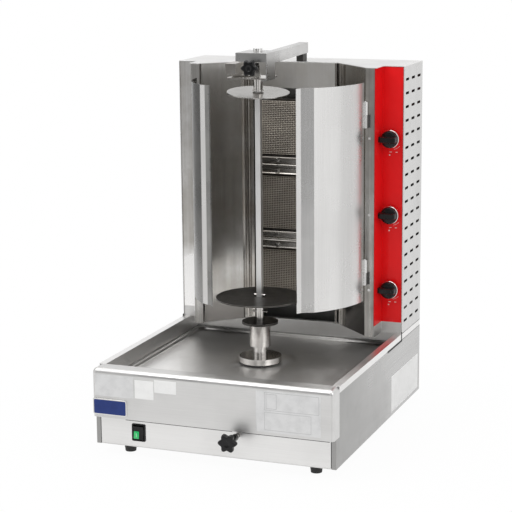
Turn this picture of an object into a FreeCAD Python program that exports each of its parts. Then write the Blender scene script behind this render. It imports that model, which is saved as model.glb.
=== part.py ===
import FreeCAD, Part
import os
import re
import Sketcher

# Countertop gas rotisserie oven (vertical broiler): a drip-tray base, an upright burner cabinet,
# two curved heat doors and a motor-driven vertical spit held by a top arm.
# Millimetres, +Z up. Origin: floor level, centre of the plan box. -Y is the front.

doc = FreeCAD.newDocument("rotisserie_oven")
sheet = doc.addObject("Spreadsheet::Sheet", "Sizes")

SIZES = {
    # overall
    "body_width": 550, "body_depth": 652, "body_height": 817, "knob_reach": 48, "pipe_reach": 20,
    "metal": 1.5, "play": 0.3, "running_play": 0.06,
    # base
    "foot_height": 25, "foot_radius": 15, "foot_inset_x": 59, "foot_inset_y": 62,
    "apron_low": 90, "apron_depth": 38, "apron_corner": 8, "apron_nose": 11,
    "rim_height": 199, "side_rim": 16, "side_top": 185, "panel_recess": 16, "post_width": 10,
    "panel_gap": 1.5, "pan_floor": 158, "pan_edge": 165, "pan_flange": 10, "tray_length": 548,
    # cabinet
    "cabinet_setback": 498, "fascia_setback": 500, "post_setback": 445, "fascia_width": 50,
    "fascia_low": 225, "post_inner": 201, "post_outer": 222, "wall_back": 545, "burner_side": 97,
    "slot_length": 27, "slot_height": 6, "slot_pitch_y": 48, "slot_pitch_z": 31.1,
    "slot_first_y": 28, "slot_first_z": 226, "slot_columns": 3, "slot_rows": 19,
    # burners
    "bar_bolt_radius": 4.5, "bar_bolt_head": 4, "burner_height": 136, "burner_pitch": 178, "burner_first": 305, "burner_depth": 38,
    "plaque_depth": 13, "deflector_low": 755,
    # gas train
    "valve_width": 30, "valve_depth": 70, "pipe_radius": 9, "feed_radius": 4,
    "inlet_x": 200, "inlet_z": 110, "inlet_radius": 10.48,
    # control knobs
    "dial_inset": 28.5, "dial_radius": 21, "dial_collar": 10, "dial_skirt": 14, "dial_grip": 12, "grip_half": 9,
    "stem_radius": 4, "dial_first": 304, "dial_pitch": 174.5,
    # doors
    "hinge_x": 203, "hinge_setback": 437, "door_low": 287, "door_high": 785, "door_radius": 210,
    "door_start": 2, "door_sweep": 46, "door_flange": 29, "flange_heading": 206, "door_lip": 13,
    "lip_heading": 243, "barrel_radius": 6.5, "pin_radius": 3, "barrel_length": 29,
    "hinge_low": 323, "hinge_high": 683,
    # spit
    "spit_setback": 300, "shaft_radius": 10.5, "base_disc_radius": 48, "base_disc_top": 175,
    "hub_low": 198, "hub_high": 250, "hub_radius": 24, "ash_disc_radius": 41, "ash_disc_top": 255,
    "sleeve_radius": 8, "sleeve_top": 308, "big_disc_radius": 99, "disc_metal": 3,
    "rod_side": 12, "rod_top": 774, "top_disc_radius": 69, "top_disc_z": 770,
    "bush_radius": 10.5, "bush_top": 801, "stub_radius": 6, "stub_top": 811,
    # drive
    "travel": 12, "rail_x": 45, "rail_width": 12, "carriage_z": 58, "carriage_half": 62,
    "motor_low": 61, "motor_high": 128, "motor_half": 40, "rod_x": 56, "rod_z": 77,
    "screw_radius": 4, "star_radius": 21, "star_length": 14,
    # top arm
    "head_front": 258, "head_deep": 310, "head_back": 340, "head_half": 36, "head_low": 806, "head_lip": 841,
    "arm_low": 836, "arm_high": 860, "arm_flange": 21, "arm_end_x": 20, "arm_end": 575, "arm_metal": 2, "slider_metal": 3,
    "latch_x": 45, "latch_setback": 318, "latch_side": 24, "latch_low": 814, "latch_high": 837,
    "latch_front": 250, "top_star_x": 4, "top_star_z": 829, "top_star_radius": 19,
    "top_star_face": 231, "top_star_length": 13, "lug_front": 272,
    "bolt_radius": 10, "disc_lean": 4.5, "disc_roll": 3,
    # switch and gland
    "switch_x": 174, "switch_z": 58.5, "switch_width": 32, "switch_tall": 39,
    "rocker_width": 24, "rocker_tall": 30, "gland_radius": 11, "gland_x": 130,
}

for row, (alias, size) in enumerate(SIZES.items(), start=1):
    sheet.set(f"A{row}", alias)
    sheet.set(f"B{row}", str(size))
    sheet.setAlias(f"B{row}", alias)
doc.recompute()

PARTS = []


def named(formula):
    """The same formula with each size's name pointing at its cell."""
    return re.sub(r"[a-z][a-z_]*_?[a-z]*", lambda m: f"Sizes.{m[0]}" if m[0] in SIZES else m[0], str(formula))


def value(formula):
    return float(sheet.evalExpression(named(formula)))


def keep(obj, label):
    """Name a finished sub-part."""
    obj.Label = label
    PARTS.append(obj)
    return obj


def place(obj, x="0", y="0", z="0"):
    for axis, formula in zip("xyz", (x, y, z)):
        obj.setExpression(f"Placement.Base.{axis}", named(formula))
    return obj


def block(x, y, z):
    """A box from its low and high formulas along each axis."""
    box = doc.addObject("Part::Box", "block")
    for prop, (low, high) in zip(("Length", "Width", "Height"), (x, y, z)):
        box.setExpression(prop, named(f"({high}) - ({low})"))
    return place(box, x[0], y[0], z[0])


TURNS = {"x": FreeCAD.Rotation(FreeCAD.Vector(0, 1, 0), 90), "y": FreeCAD.Rotation(FreeCAD.Vector(1, 0, 0), -90),
         "z": FreeCAD.Rotation()}


def rod(axis, radius, start, end, x="0", y="0", z="0", top_radius=None):
    """A cylinder, or a cone where top_radius is given, from start to end along one axis."""
    kind = "Part::Cone" if top_radius else "Part::Cylinder"
    piece = doc.addObject(kind, "rod")
    if top_radius:
        piece.setExpression("Radius1", named(radius))
        piece.setExpression("Radius2", named(top_radius))
    else:
        piece.setExpression("Radius", named(radius))
    piece.setExpression("Height", named(f"({end}) - ({start})"))
    piece.Placement = FreeCAD.Placement(FreeCAD.Vector(), TURNS[axis])
    spot = {"x": x, "y": y, "z": z}
    spot[axis] = start
    return place(piece, **spot)


def join(*pieces):
    if len(pieces) == 1:
        return pieces[0]
    fuse = doc.addObject("Part::MultiFuse", "join")
    fuse.Shapes = list(pieces)
    fuse.Refine = True
    return fuse


def group(*pieces):
    """Separate solids that share one node."""
    compound = doc.addObject("Part::Compound", "group")
    compound.Links = list(pieces)
    return compound


def cut(base, *tools):
    result = doc.addObject("Part::Cut", "cut")
    result.Base = base
    result.Tool = join(*tools)
    return result


def mirrored(source, label):
    mirror = doc.addObject("Part::Mirroring", label)
    mirror.Source = source
    mirror.Base = FreeCAD.Vector(0, 0, 0)
    mirror.Normal = FreeCAD.Vector(1, 0, 0)
    return keep(mirror, label)


def outline(points, sketch, closed, bulges):
    """Lines through the points, each corner tied to its formulas; bulges make a side an arc."""
    count = len(points)
    spots = [FreeCAD.Vector(value(x), value(y), 0) for x, y in points]
    sides = count if closed else count - 1
    for side in range(sides):
        start, end = spots[side], spots[(side + 1) % count]
        if side in bulges:
            radius, turn = bulges[side]
            middle, along = (start + end) / 2, end - start
            away = FreeCAD.Vector(-along.y, along.x, 0).normalize()
            drop = value(radius) - (value(radius) ** 2 - (along.Length / 2) ** 2) ** 0.5
            arc = Part.Arc(start, middle + away * drop * turn, end)
            sketch.addGeometry(arc)
        else:
            sketch.addGeometry(Part.LineSegment(start, end))
    for side in range(sides):
        first = side == 0
        counter_clockwise = side in bulges and bulges[side][1] < 0
        head, tail = (1, 2) if side not in bulges or counter_clockwise else (2, 1)
        if first:
            head_of_first = head
            tie_point(sketch, side, head, points[side])
        else:
            sketch.addConstraint(Sketcher.Constraint("Coincident", side - 1, last_tail, side, head))
        if closed and side == sides - 1:
            sketch.addConstraint(Sketcher.Constraint("Coincident", side, tail, 0, head_of_first))
        else:
            tie_point(sketch, side, tail, points[side + 1])
        if side in bulges:
            spot = sketch.addConstraint(Sketcher.Constraint("Radius", side, value(bulges[side][0])))
            sketch.setExpression(f"Constraints[{spot}]", named(bulges[side][0]))
        last_tail = tail


def tie_point(sketch, side, end, point):
    for kind, formula in zip(("DistanceX", "DistanceY"), point):
        spot = sketch.addConstraint(Sketcher.Constraint(kind, -1, 1, side, end, value(formula)))
        sketch.setExpression(f"Constraints[{spot}]", named(formula))


def bent_sheet(points, low, high, thick="metal", bulges=None):
    """Sheet metal: an open line in plan, thickened to its left and raised from low to high."""
    sketch = doc.addObject("Sketcher::SketchObject", "bend_line")
    outline(points, sketch, False, bulges or {})
    skin = doc.addObject("Part::Offset2D", "skin")
    skin.Source = sketch
    skin.setExpression("Value", named(f"-({thick})"))
    skin.Mode = "Skin"
    skin.Join = "Intersection"
    skin.Fill = True
    wall = doc.addObject("Part::Extrusion", "wall")
    wall.Base = skin
    wall.DirMode = "Custom"
    wall.Dir = FreeCAD.Vector(0, 0, 1)
    wall.Solid = True
    wall.setExpression("LengthFwd", named(f"({high}) - ({low})"))
    return place(wall, z=low)


def plane(body, role):
    return next(face for face in body.Origin.OriginFeatures if face.Role == role)


def sketch_on(body, role, points, bulges=None):
    sketch = body.newObject("Sketcher::SketchObject", "outline")
    sketch.AttachmentSupport = [(plane(body, role), "")]
    sketch.MapMode = "FlatFace"
    outline(points, sketch, True, bulges or {})
    return sketch


def rectangle(x_low, x_high, y_low, y_high):
    return [(x_low, y_low), (x_high, y_low), (x_high, y_high), (x_low, y_high)]


def pad(label, role, points, length, bulges=None):
    body = doc.addObject("PartDesign::Body", label)
    feature = body.newObject("PartDesign::Pad", "Pad")
    feature.Profile = sketch_on(body, role, points, bulges)
    feature.setExpression("Length", named(length))
    return body, feature


# places that several sub-parts share, as formulas of the sizes
FRONT = "((knob_reach - pipe_reach - body_depth) / 2)"
BACK = f"({FRONT} + body_depth)"
HALF = "(body_width / 2)"
INNER_HALF = f"({HALF} - metal)"
AXIS_Y = f"({FRONT} + spit_setback)"
TOP_UNDER = f"(body_height - metal)"
RIM_INNER = f"({HALF} - side_rim)"


def from_front(setback):
    return f"({FRONT} + {setback})"


# --- base: feet, bottom, side and back panels, lower front panel -------------------------------
def make_feet():
    pieces = []
    for side in (-1, 1):
        for end in (f"{FRONT} + foot_inset_y", f"{BACK} - foot_inset_y"):
            x = f"{side} * ({HALF} - foot_inset_x)"
            pieces.append(rod("z", "foot_radius * 0.8", "0", "foot_height", x=x, y=end, top_radius="foot_radius"))
    keep(group(*pieces), "feet")


def make_base():
    y_front = f"{FRONT} + panel_recess"
    bottom = block((f"-{INNER_HALF}", INNER_HALF), (f"{y_front} + metal", f"{BACK} - metal"),
                   ("foot_height", "foot_height + metal"))
    keep(bottom, "base_bottom_panel")

    side_line = [(f"{HALF} - post_width", y_front), (HALF, y_front), (HALF, f"{BACK}")]
    side = bent_sheet(side_line, "foot_height", "side_top")
    notch = block((f"{HALF} - 2 * post_width", f"{HALF} + 1"), (f"{FRONT} - 1", f"{FRONT} + apron_depth"),
                  ("apron_low", "side_top + 1"))
    right = keep(cut(side, notch), "base_side_right")
    mirrored(right, "base_side_left")

    body_x = f"{HALF} - post_width - panel_gap"
    panel = block((f"-({body_x})", body_x), (y_front, f"{y_front} + metal"),
                  ("foot_height + metal + panel_gap", "apron_low - panel_gap"))
    flange = block((f"-({body_x})", body_x), (f"{y_front} + metal", f"{y_front} + 3 * metal"),
                   ("foot_height + metal", "foot_height + 2 * metal + panel_gap"))
    window = block(("-switch_x - switch_width / 2 + 2", "-switch_x + switch_width / 2 - 2"),
                   (f"{y_front} - 1", f"{y_front} + 5 * metal"),
                   ("switch_z - switch_tall / 2 + 2", "switch_z + switch_tall / 2 - 2"))
    rod_hole = rod("y", "screw_radius + 1", f"{y_front} - 1", f"{y_front} + 2 * metal", x="rod_x", z="rod_z")
    keep(cut(join(panel, flange), window, rod_hole), "base_front_panel")

    back = block((f"-{INNER_HALF}", INNER_HALF), (f"{BACK} - metal", BACK), ("foot_height", "rim_height"))
    inlet_hole = rod("y", "inlet_radius + 2", f"{BACK} - 5", f"{BACK} + 1", x="inlet_x", z="inlet_z")
    gland_hole = rod("y", "gland_radius - 3 + play", f"{BACK} - 5", f"{BACK} + 1", x="-gland_x", z="inlet_z")
    keep(cut(back, inlet_hole, gland_hole), "base_back_panel")


def make_tray():
    # apron: a padded block with a rounded nose and corners, shelled from below
    body, block_pad = pad("front_apron", "XY_Plane",
                          rectangle(f"-{HALF}", HALF, FRONT, f"{FRONT} + apron_depth"),
                          "rim_height - apron_low")
    place(body, z="apron_low")
    doc.recompute()
    round_edges(body, block_pad, "apron_corner", lambda e: upright(e) and e.CenterOfMass.y < value(FRONT) + 1)
    rim_z = body.Tip.Shape.BoundBox.ZMax
    nose = round_edges(body, body.Tip, "apron_nose", lambda e: is_front_rim(e, rim_z))
    shell = body.newObject("PartDesign::Thickness", "Shell")
    shell.Base = (nose, [lowest_face(nose)])
    shell.setExpression("Value", named("metal"))
    shell.Mode = "Skin"
    shell.Join = "Arc"
    shell.Reversed = True
    body.Tip = shell
    keep(body, "front_apron")

    y_low = f"{FRONT} + apron_depth"
    y_high = f"{BACK} - metal"
    rims = []
    for side in (-1, 1):
        edges = [(RIM_INNER, HALF, "rim_height - metal", "rim_height"),
                 (INNER_HALF, HALF, "side_top", "rim_height"),
                 (RIM_INNER, f"{RIM_INNER} + metal", "pan_edge + play", "rim_height")]
        for x_in, x_out, z_low, z_high in edges:
            span = (x_in, x_out) if side > 0 else (f"-({x_out})", f"-({x_in})")
            rims.append(block(span, (y_low, y_high), (z_low, z_high)))
    wall_y = from_front("tray_length")
    rims.append(block((f"-{RIM_INNER}", RIM_INNER), (wall_y, f"{wall_y} + metal"), ("pan_edge + play", "rim_height")))
    rims.append(block((f"-{RIM_INNER}", RIM_INNER), (wall_y, f"{wall_y} + 8 * metal"),
                      ("rim_height - metal", "rim_height")))
    keep(join(*rims), "tray_surround")


def upright(edge):
    box = edge.BoundBox
    return box.ZLength > 1 and box.XLength < 0.01 and box.YLength < 0.01


def is_front_rim(edge, rim_z):
    along_x = edge.BoundBox.XLength > 100
    return along_x and abs(edge.BoundBox.ZMin - rim_z) < 0.1 and abs(edge.CenterOfMass.y - value(FRONT)) < 1


def lowest_face(feature):
    faces = feature.Shape.Faces
    return f"Face{1 + min(range(len(faces)), key=lambda i: faces[i].CenterOfMass.z)}"


def round_edges(body, feature, radius, wanted):
    """Fillet the edges that the test picks."""
    names = [f"Edge{i}" for i, edge in enumerate(feature.Shape.Edges, start=1) if wanted(edge)]
    fillet = body.newObject("PartDesign::Fillet", "Fillet")
    fillet.Base = (feature, names)
    fillet.setExpression("Radius", named(radius))
    body.Tip = fillet
    doc.recompute()
    return fillet


def make_drip_pan():
    x = f"{RIM_INNER}"
    y_low = f"{FRONT} + apron_depth"
    y_high = from_front("tray_length")
    flange = block((f"-({x})", x), (y_low, y_high), ("pan_edge - metal", "pan_edge"))
    tub = block((f"-({x} - pan_flange)", f"{x} - pan_flange"), (f"{y_low} + pan_flange", f"{y_high} - pan_flange"),
                ("pan_floor - metal", "pan_edge - metal"))
    inset = "pan_flange + metal"
    well = block((f"-({x} - {inset})", f"{x} - ({inset})"), (f"{y_low} + {inset}", f"{y_high} - ({inset})"),
                 ("pan_floor", "pan_edge + 1"))
    slot_half = "shaft_radius + 2.5"
    slot = block((f"-({slot_half})", slot_half), (f"{AXIS_Y} - ({slot_half})", f"{AXIS_Y} + travel + {slot_half}"),
                 ("pan_floor - 2 * metal", "pan_edge"))
    keep(cut(join(flange, tub), well, slot), "drip_pan")


# --- cabinet ---------------------------------------------------------------------------------
def make_cabinet():
    low, y_side = "rim_height", from_front("cabinet_setback")
    body, _ = pad("cabinet_side_right", "YZ_Plane", rectangle(y_side, BACK, low, TOP_UNDER), "metal")
    place(body, x=INNER_HALF)
    pocket = body.newObject("PartDesign::Pocket", "Slot")
    slot_y, slot_z = f"{y_side} + slot_first_y", "slot_first_z"
    straight, round_end = "(slot_length - slot_height) / 2", "slot_height / 2"
    corners = [(f"{slot_y} - {straight}", f"{slot_z} - {round_end}"), (f"{slot_y} + {straight}", f"{slot_z} - {round_end}"),
               (f"{slot_y} + {straight}", f"{slot_z} + {round_end}"), (f"{slot_y} - {straight}", f"{slot_z} + {round_end}")]
    pocket.Profile = sketch_on(body, "YZ_Plane", corners, {1: (f"{round_end} * 1.0001", -1), 3: (f"{round_end} * 1.0001", -1)})
    pocket.Type = "ThroughAll"
    pocket.Midplane = True
    pattern = body.newObject("PartDesign::LinearPattern", "Slots")
    pattern.Originals = [pocket]
    pattern.Direction = (pocket.Profile[0], ["H_Axis"])
    pattern.Mode = "Spacing"
    pattern.setExpression("Offset", named("slot_pitch_y"))
    pattern.Occurrences = SIZES["slot_columns"]
    pattern.Direction2 = (pocket.Profile[0], ["V_Axis"])
    pattern.Mode2 = "Spacing"
    pattern.setExpression("Offset2", named("slot_pitch_z"))
    pattern.Occurrences2 = SIZES["slot_rows"] + 1  # the second direction leaves its last row out
    body.Tip = pattern
    keep(body, "cabinet_side_right")
    mirrored(body, "cabinet_side_left")

    back = block((f"-{INNER_HALF}", INNER_HALF), (f"{BACK} - metal", BACK), (low, TOP_UNDER))
    keep(back, "cabinet_back")

    # flat top with its deep notch round the spit space
    wall_y, post_y, side_y = from_front("wall_back"), from_front("post_setback"), y_side
    right = [(HALF, BACK), (HALF, side_y), ("post_outer + 6", side_y), ("post_outer + 6", post_y),
             ("post_inner", post_y), ("burner_side + 6", wall_y)]
    left = [(f"-({x})", y) for x, y in reversed(right)]
    cover, _ = pad("top_cover", "XY_Plane", right + left, "metal")
    place(cover, z=TOP_UNDER)
    keep(cover, "top_cover")


def make_fascias():
    y_face, y_post = from_front("fascia_setback"), from_front("post_setback")
    inner = f"{HALF} - fascia_width"
    line = [(INNER_HALF, y_face), (inner, y_face), ("post_outer + metal + play", f"{y_post} + metal")]
    line.reverse()
    face = bent_sheet(line, "fascia_low", TOP_UNDER)
    dials = [rod("y", "stem_radius + 2", f"{y_face} - 5", f"{y_face} + 5", x=DIAL_X, z=height) for height in DIAL_HEIGHTS]
    keep(cut(face, *dials), "fascia_right")
    mirrored(bent_sheet(line, "fascia_low", TOP_UNDER), "fascia_left")
    sill = bent_sheet(line, "rim_height", "fascia_low")
    keep(both_sides(sill), "fascia_sills")


def both_sides(piece):
    """The piece and its mirror image, as one group of separate solids."""
    mirror = doc.addObject("Part::Mirroring", "mirror_image")
    mirror.Source = piece
    mirror.Normal = FreeCAD.Vector(1, 0, 0)
    return group(piece, mirror)


def make_inner_cabinet():
    y_post, y_wall = from_front("post_setback"), from_front("wall_back")
    low = "rim_height"
    fold = f"{y_post} + 8 * metal"
    post = bent_sheet([("post_inner", fold), ("post_inner", y_post), ("post_outer", y_post), ("post_outer", fold)],
                      low, TOP_UNDER)
    keep(both_sides(post), "hinge_posts")
    wall = bent_sheet([("burner_side + 6", f"{y_wall} + 8 * metal"), ("burner_side + 6", y_wall),
                       ("post_inner - metal", f"{y_post} + 5 * metal")], low, TOP_UNDER)
    keep(both_sides(wall), "inner_walls")
    channel = bent_sheet([("burner_side + play", f"{y_wall} + 16"), ("burner_side + play", f"{y_wall} - 4"),
                          ("burner_side + 5", f"{y_wall} - 4")], low, TOP_UNDER)
    keep(both_sides(channel), "wall_channels")
    deflector = block(("-burner_side", "burner_side"), (y_wall, f"{y_wall} + metal"), ("deflector_low", TOP_UNDER))
    flange = block(("-burner_side", "burner_side"), (y_wall, f"{y_wall} + 12"), (f"{TOP_UNDER} - metal", TOP_UNDER))
    keep(join(deflector, flange), "upper_deflector")


# --- burners and gas train ---------------------------------------------------------------------
BURNER_HEIGHTS = [f"(burner_first + {index} * burner_pitch)" for index in range(3)]
DIAL_HEIGHTS = [f"(dial_first + {index} * dial_pitch)" for index in range(3)]
DIAL_X = f"({HALF} - dial_inset)"


def make_burners():
    y_wall = from_front("wall_back")
    housings, plaques, meshes = [], [], []
    half = "burner_height / 2"
    for middle, feed in zip(BURNER_HEIGHTS, DIAL_HEIGHTS):
        span_z = (f"{middle} - {half}", f"{middle} + {half}")
        box = block(("-burner_side", "burner_side"), (f"{y_wall} + metal", f"{y_wall} + burner_depth"), span_z)
        hollow = block(("-burner_side + metal", "burner_side - metal"), (y_wall, f"{y_wall} + burner_depth - metal"),
                       (f"{span_z[0]} + metal", f"{span_z[1]} - metal"))
        throat = rod("x", "feed_radius + 1", "burner_side - 5", "burner_side + 5", y=PIPE_Y, z=feed)
        housings.append(cut(box, hollow, throat))
        inside_x = ("-burner_side + metal", "burner_side - metal")
        inside_z = (f"{span_z[0]} + metal", f"{span_z[1]} - metal")
        plaques.append(block(inside_x, (f"{y_wall} + 6", f"{y_wall} + 6 + plaque_depth"), inside_z))
        meshes.append(block(("-burner_side", "burner_side"), (y_wall, f"{y_wall} + metal"), span_z))
    keep(group(*housings), "burner_housings")
    keep(group(*plaques), "burner_plaques")
    keep(group(*meshes), "burner_meshes")

    bars, bolts = [], []
    for lower in BURNER_HEIGHTS[:2]:
        z_low, z_high = f"{lower} + {half}", f"{lower} + burner_pitch - {half}"
        bar = block(("-burner_side", "burner_side"), (f"{y_wall} - 6", f"{y_wall} + 16"), (z_low, z_high))
        groove = block(("-burner_side - 1", "burner_side + 1"), (f"{y_wall} - 7", f"{y_wall} - 6 + 3 * metal"),
                       (f"{z_low} + 14", f"{z_high} - 14"))
        hollow = block(("-burner_side - 1", "burner_side + 1"), (f"{y_wall}", f"{y_wall} + 17"),
                       (f"{z_low} + 2 * metal", f"{z_high} - 2 * metal"))
        bars.append(cut(bar, groove, hollow))
        for x in ("-46", "46"):
            for z in (f"{z_low} + 8", f"{z_high} - 8"):
                bolts.append(rod("y", "bar_bolt_radius", f"{y_wall} - 6 - bar_bolt_head", f"{y_wall} - 6", x=x, z=z))
    keep(group(*bars), "burner_bars")
    keep(group(*bolts), "burner_bolts")


PIPE_Y = from_front("wall_back + 24")


def make_gas_train():
    y_face = f"{from_front('fascia_setback')} + metal"
    half = "valve_width / 2"
    valves, feeds = [], []
    for height in DIAL_HEIGHTS:
        body = block((f"{DIAL_X} - {half}", f"{DIAL_X} + {half}"), (y_face, f"{y_face} + valve_depth"),
                     (f"{height} - {half}", f"{height} + {half}"))
        bore = rod("y", "stem_radius + running_play", f"{y_face} - 1", f"{y_face} + 14", x=DIAL_X, z=height)
        valves.append(cut(body, bore))
        feeds.append(rod("x", "feed_radius", "burner_side - metal", f"{DIAL_X} - {half}", y=PIPE_Y, z=height))
    keep(group(*valves), "gas_valves")
    y_pipe = f"{y_face} + valve_depth + pipe_radius"
    riser = rod("z", "pipe_radius", "inlet_z", f"{DIAL_HEIGHTS[2]} + 30", x=DIAL_X, y=y_pipe)
    across = rod("x", "pipe_radius", "inlet_x", DIAL_X, y=y_pipe, z="inlet_z")
    inlet_start = f"{BACK} - 12"
    back_run = rod("y", "pipe_radius", y_pipe, inlet_start, x="inlet_x", z="inlet_z")
    elbows = [doc.addObject("Part::Sphere", "elbow") for _ in range(2)]
    for elbow, x in zip(elbows, (DIAL_X, "inlet_x")):
        elbow.setExpression("Radius", named("pipe_radius + 1"))
        place(elbow, x, y_pipe, "inlet_z")
    keep(group(join(riser, across, back_run, *elbows), *feeds), "gas_manifold")
    collar = rod("y", "inlet_radius + 4", inlet_start, f"{BACK} - metal", x="inlet_x", z="inlet_z")
    nipple = rod("y", "inlet_radius", inlet_start, f"{BACK} + pipe_reach", x="inlet_x", z="inlet_z")
    way = rod("y", "inlet_radius - 3", f"{BACK} - 8", f"{BACK} + pipe_reach + 1", x="inlet_x", z="inlet_z")
    keep(cut(join(collar, nipple), way), "gas_inlet")


def make_control_knob(place_name, height):
    y_face = from_front("fascia_setback")
    back = f"{y_face} - play"
    front = f"{back} - dial_collar - dial_skirt"
    collar = rod("y", "dial_radius * 0.6", f"{back} - dial_collar", back, x=DIAL_X, z=height)
    skirt = rod("y", "dial_radius * 0.95", front, f"{front} + dial_skirt", x=DIAL_X, z=height,
                top_radius="dial_radius")
    grip = block((f"{DIAL_X} - dial_radius * 0.9", f"{DIAL_X} + dial_radius * 0.9"),
                 (f"{front} - dial_grip", front), (f"{height} - grip_half", f"{height} + grip_half"))
    stem = rod("y", "stem_radius", back, f"{y_face} + 12", x=DIAL_X, z=height)
    keep(join(collar, skirt, grip, stem), f"control_knob_{place_name}")


# --- doors ---------------------------------------------------------------------------------------
HINGE_Y = from_front("hinge_setback")
HINGE_SPOTS = ("hinge_low", "hinge_high")


def make_doors():
    centre_x = "(hinge_x - door_radius * cos(door_start))"
    centre_y = f"({HINGE_Y} + door_radius * sin(door_start))"

    def on_arc(angle):
        return (f"{centre_x} + door_radius * cos({angle})", f"{centre_y} - door_radius * sin({angle})")

    first = on_arc("(door_start + 2)")
    last = on_arc("(door_start + door_sweep)")
    bend = (f"{last[0]} + door_flange * cos(flange_heading)", f"{last[1]} + door_flange * sin(flange_heading)")
    edge = (f"{bend[0]} + door_lip * cos(lip_heading)", f"{bend[1]} + door_lip * sin(lip_heading)")
    # the line runs from the lip to the hinge, so the thickness lies on the spit's side
    skin = bent_sheet([edge, bend, last, first], "door_low", "door_high", bulges={2: ("door_radius", -1)})
    knuckles = []
    leaves = []
    for start in HINGE_SPOTS:
        middle = f"{start} + barrel_length"
        top = f"{middle} + play + barrel_length"
        barrel = rod("z", "barrel_radius", f"{middle} + play", top, x="hinge_x", y=HINGE_Y)
        tab = block(("hinge_x - 2.5", "hinge_x - 0.5"), (f"{HINGE_Y} - 12", f"{HINGE_Y} - 3.5"), (f"{middle} + play", top))
        knuckles += [barrel, tab]
        fixed = rod("z", "barrel_radius", start, middle, x="hinge_x", y=HINGE_Y)
        neck = block(("hinge_x - 1", "hinge_x + 1"), (HINGE_Y, f"{from_front('post_setback')}"), (start, middle))
        leaf = block(("hinge_x", "hinge_x + 10"), (f"{from_front('post_setback')} - metal", from_front("post_setback")),
                     (start, middle))
        pin = rod("z", "pin_radius", middle, f"{top} + 2", x="hinge_x", y=HINGE_Y)
        leaves.append(join(fixed, neck, leaf, pin))
    bores = [rod("z", "pin_radius + running_play", f"{start} + barrel_length", f"{start} + 3 * barrel_length",
                 x="hinge_x", y=HINGE_Y) for start in HINGE_SPOTS]
    right = keep(cut(join(skin, *knuckles), *bores), "door_right")
    mirrored(right, "door_left")
    keep(both_sides(group(*leaves)), "hinge_leaves")


# --- spit ------------------------------------------------------------------------------------------
def make_spit():
    y = AXIS_Y
    shaft = rod("z", "shaft_radius", "motor_high - 14", "hub_low", y=y)
    keep(shaft, "drive_shaft")
    seal_low, seal_high = "pan_floor + 1", "pan_floor + 4"
    way = "shaft_radius + running_play"
    seal = cut(rod("z", "base_disc_radius - 3", seal_low, seal_high, y=y), rod("z", way, "0", "hub_high", y=y))
    keep(seal, "seal_ring")
    disc = cut(rod("z", "base_disc_radius", seal_high, "base_disc_top", y=y), rod("z", way, "0", "hub_high", y=y))
    keep(disc, "base_disc")
    hub = join(rod("z", "hub_radius", "hub_low", "hub_high", y=y),
               rod("z", "shaft_radius + 5", "base_disc_top", "hub_low", y=y))
    keep(cut(hub, rod("z", way, "0", "hub_low", y=y)), "drive_hub")
    keep(rod("z", "ash_disc_radius", "hub_high", "ash_disc_top", y=y), "lower_disc")
    sleeve = join(rod("z", "sleeve_radius", "ash_disc_top", "sleeve_top", y=y),
                  rod("x", "2.5", "-17", "17", y=y, z="ash_disc_top + 22"))
    keep(sleeve, "lower_sleeve")

    half = "rod_side / 2"
    square = block((f"-{half}", half), (f"{y} - {half}", f"{y} + {half}"), ("sleeve_top", "rod_top"))
    hole = block((f"-{half}", half), (f"{y} - {half}", f"{y} + {half}"), ("0", "body_height"))
    keep(cut(rod("z", "big_disc_radius", "sleeve_top", "sleeve_top + disc_metal", y=y), hole), "meat_disc")
    pin_z = "sleeve_top + disc_metal + 4"
    pin_way = rod("x", "2.5", "-20", "20", y=y, z=pin_z)
    keep(cut(square, pin_way), "spit_rod")
    keep(rod("x", "2.5", "-13", "13", y=y, z=pin_z), "retaining_pin")
    # the top disc hangs a little askew: its square hole is an easy fit on the rod
    slack = "rod_side / 2 + 0.5"
    plate = rod("z", "top_disc_radius", "0", "disc_metal * 0.8")
    top_disc = cut(plate, block((f"-({slack})", slack), (f"-({slack})", slack), ("-1", "2 * disc_metal")))
    top_disc.Placement.Rotation = FreeCAD.Rotation(0, value("disc_roll"), value("disc_lean"))
    keep(place(top_disc, y=y, z="top_disc_z - 0.5"), "top_disc")
    bush = join(rod("z", "bush_radius + 2", "rod_top", "rod_top + 2", y=y),
                rod("z", "bush_radius", "rod_top", "bush_top", y=y),
                rod("z", "stub_radius", "bush_top", "stub_top", y=y))
    keep(bush, "top_bush")


# --- drive -------------------------------------------------------------------------------------------
def make_drive():
    y = AXIS_Y
    rails = [block((f"{side} * rail_x - rail_width / 2", f"{side} * rail_x + rail_width / 2"),
                   (f"{y} - carriage_half - 10", f"{y} + carriage_half + travel + 10"),
                   ("foot_height + metal", "carriage_z")) for side in (-1, 1)]
    keep(group(*rails), "carriage_rails")
    plate = block(("-carriage_half", "carriage_half"), (f"{y} - carriage_half", f"{y} + carriage_half"),
                  ("carriage_z + 0.1", "motor_low"))
    lug = block(("rod_x - 8", "rod_x + 6"), (f"{y} - carriage_half", f"{y} - carriage_half + 8"),
                ("motor_low", "rod_z + 10"))
    hole = rod("y", "screw_radius", f"{y} - carriage_half - 1", f"{y} - carriage_half + 9", x="rod_x", z="rod_z")
    keep(cut(join(plate, lug), hole), "motor_carriage")
    case = block(("-motor_half", "motor_half"), (f"{y} - motor_half", f"{y} + motor_half + 14"), ("motor_low", "motor_high"))
    can = rod("z", "motor_half * 0.8", "motor_high", "motor_high + 10", y=y)
    bore = rod("z", "shaft_radius + running_play", "motor_high - 14", "motor_high + 11", y=y)
    keep(cut(join(case, can), bore), "gear_motor")
    knob_front = f"{FRONT} - knob_reach"
    screw = rod("y", "screw_radius", f"{knob_front} + 6", f"{y} - carriage_half + 8", x="rod_x", z="rod_z")
    keep(screw, "adjusting_rod")
    keep(star_knob(knob_front, "star_length", "star_radius", "rod_x", "rod_z", 6), "front_star_knob")


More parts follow.
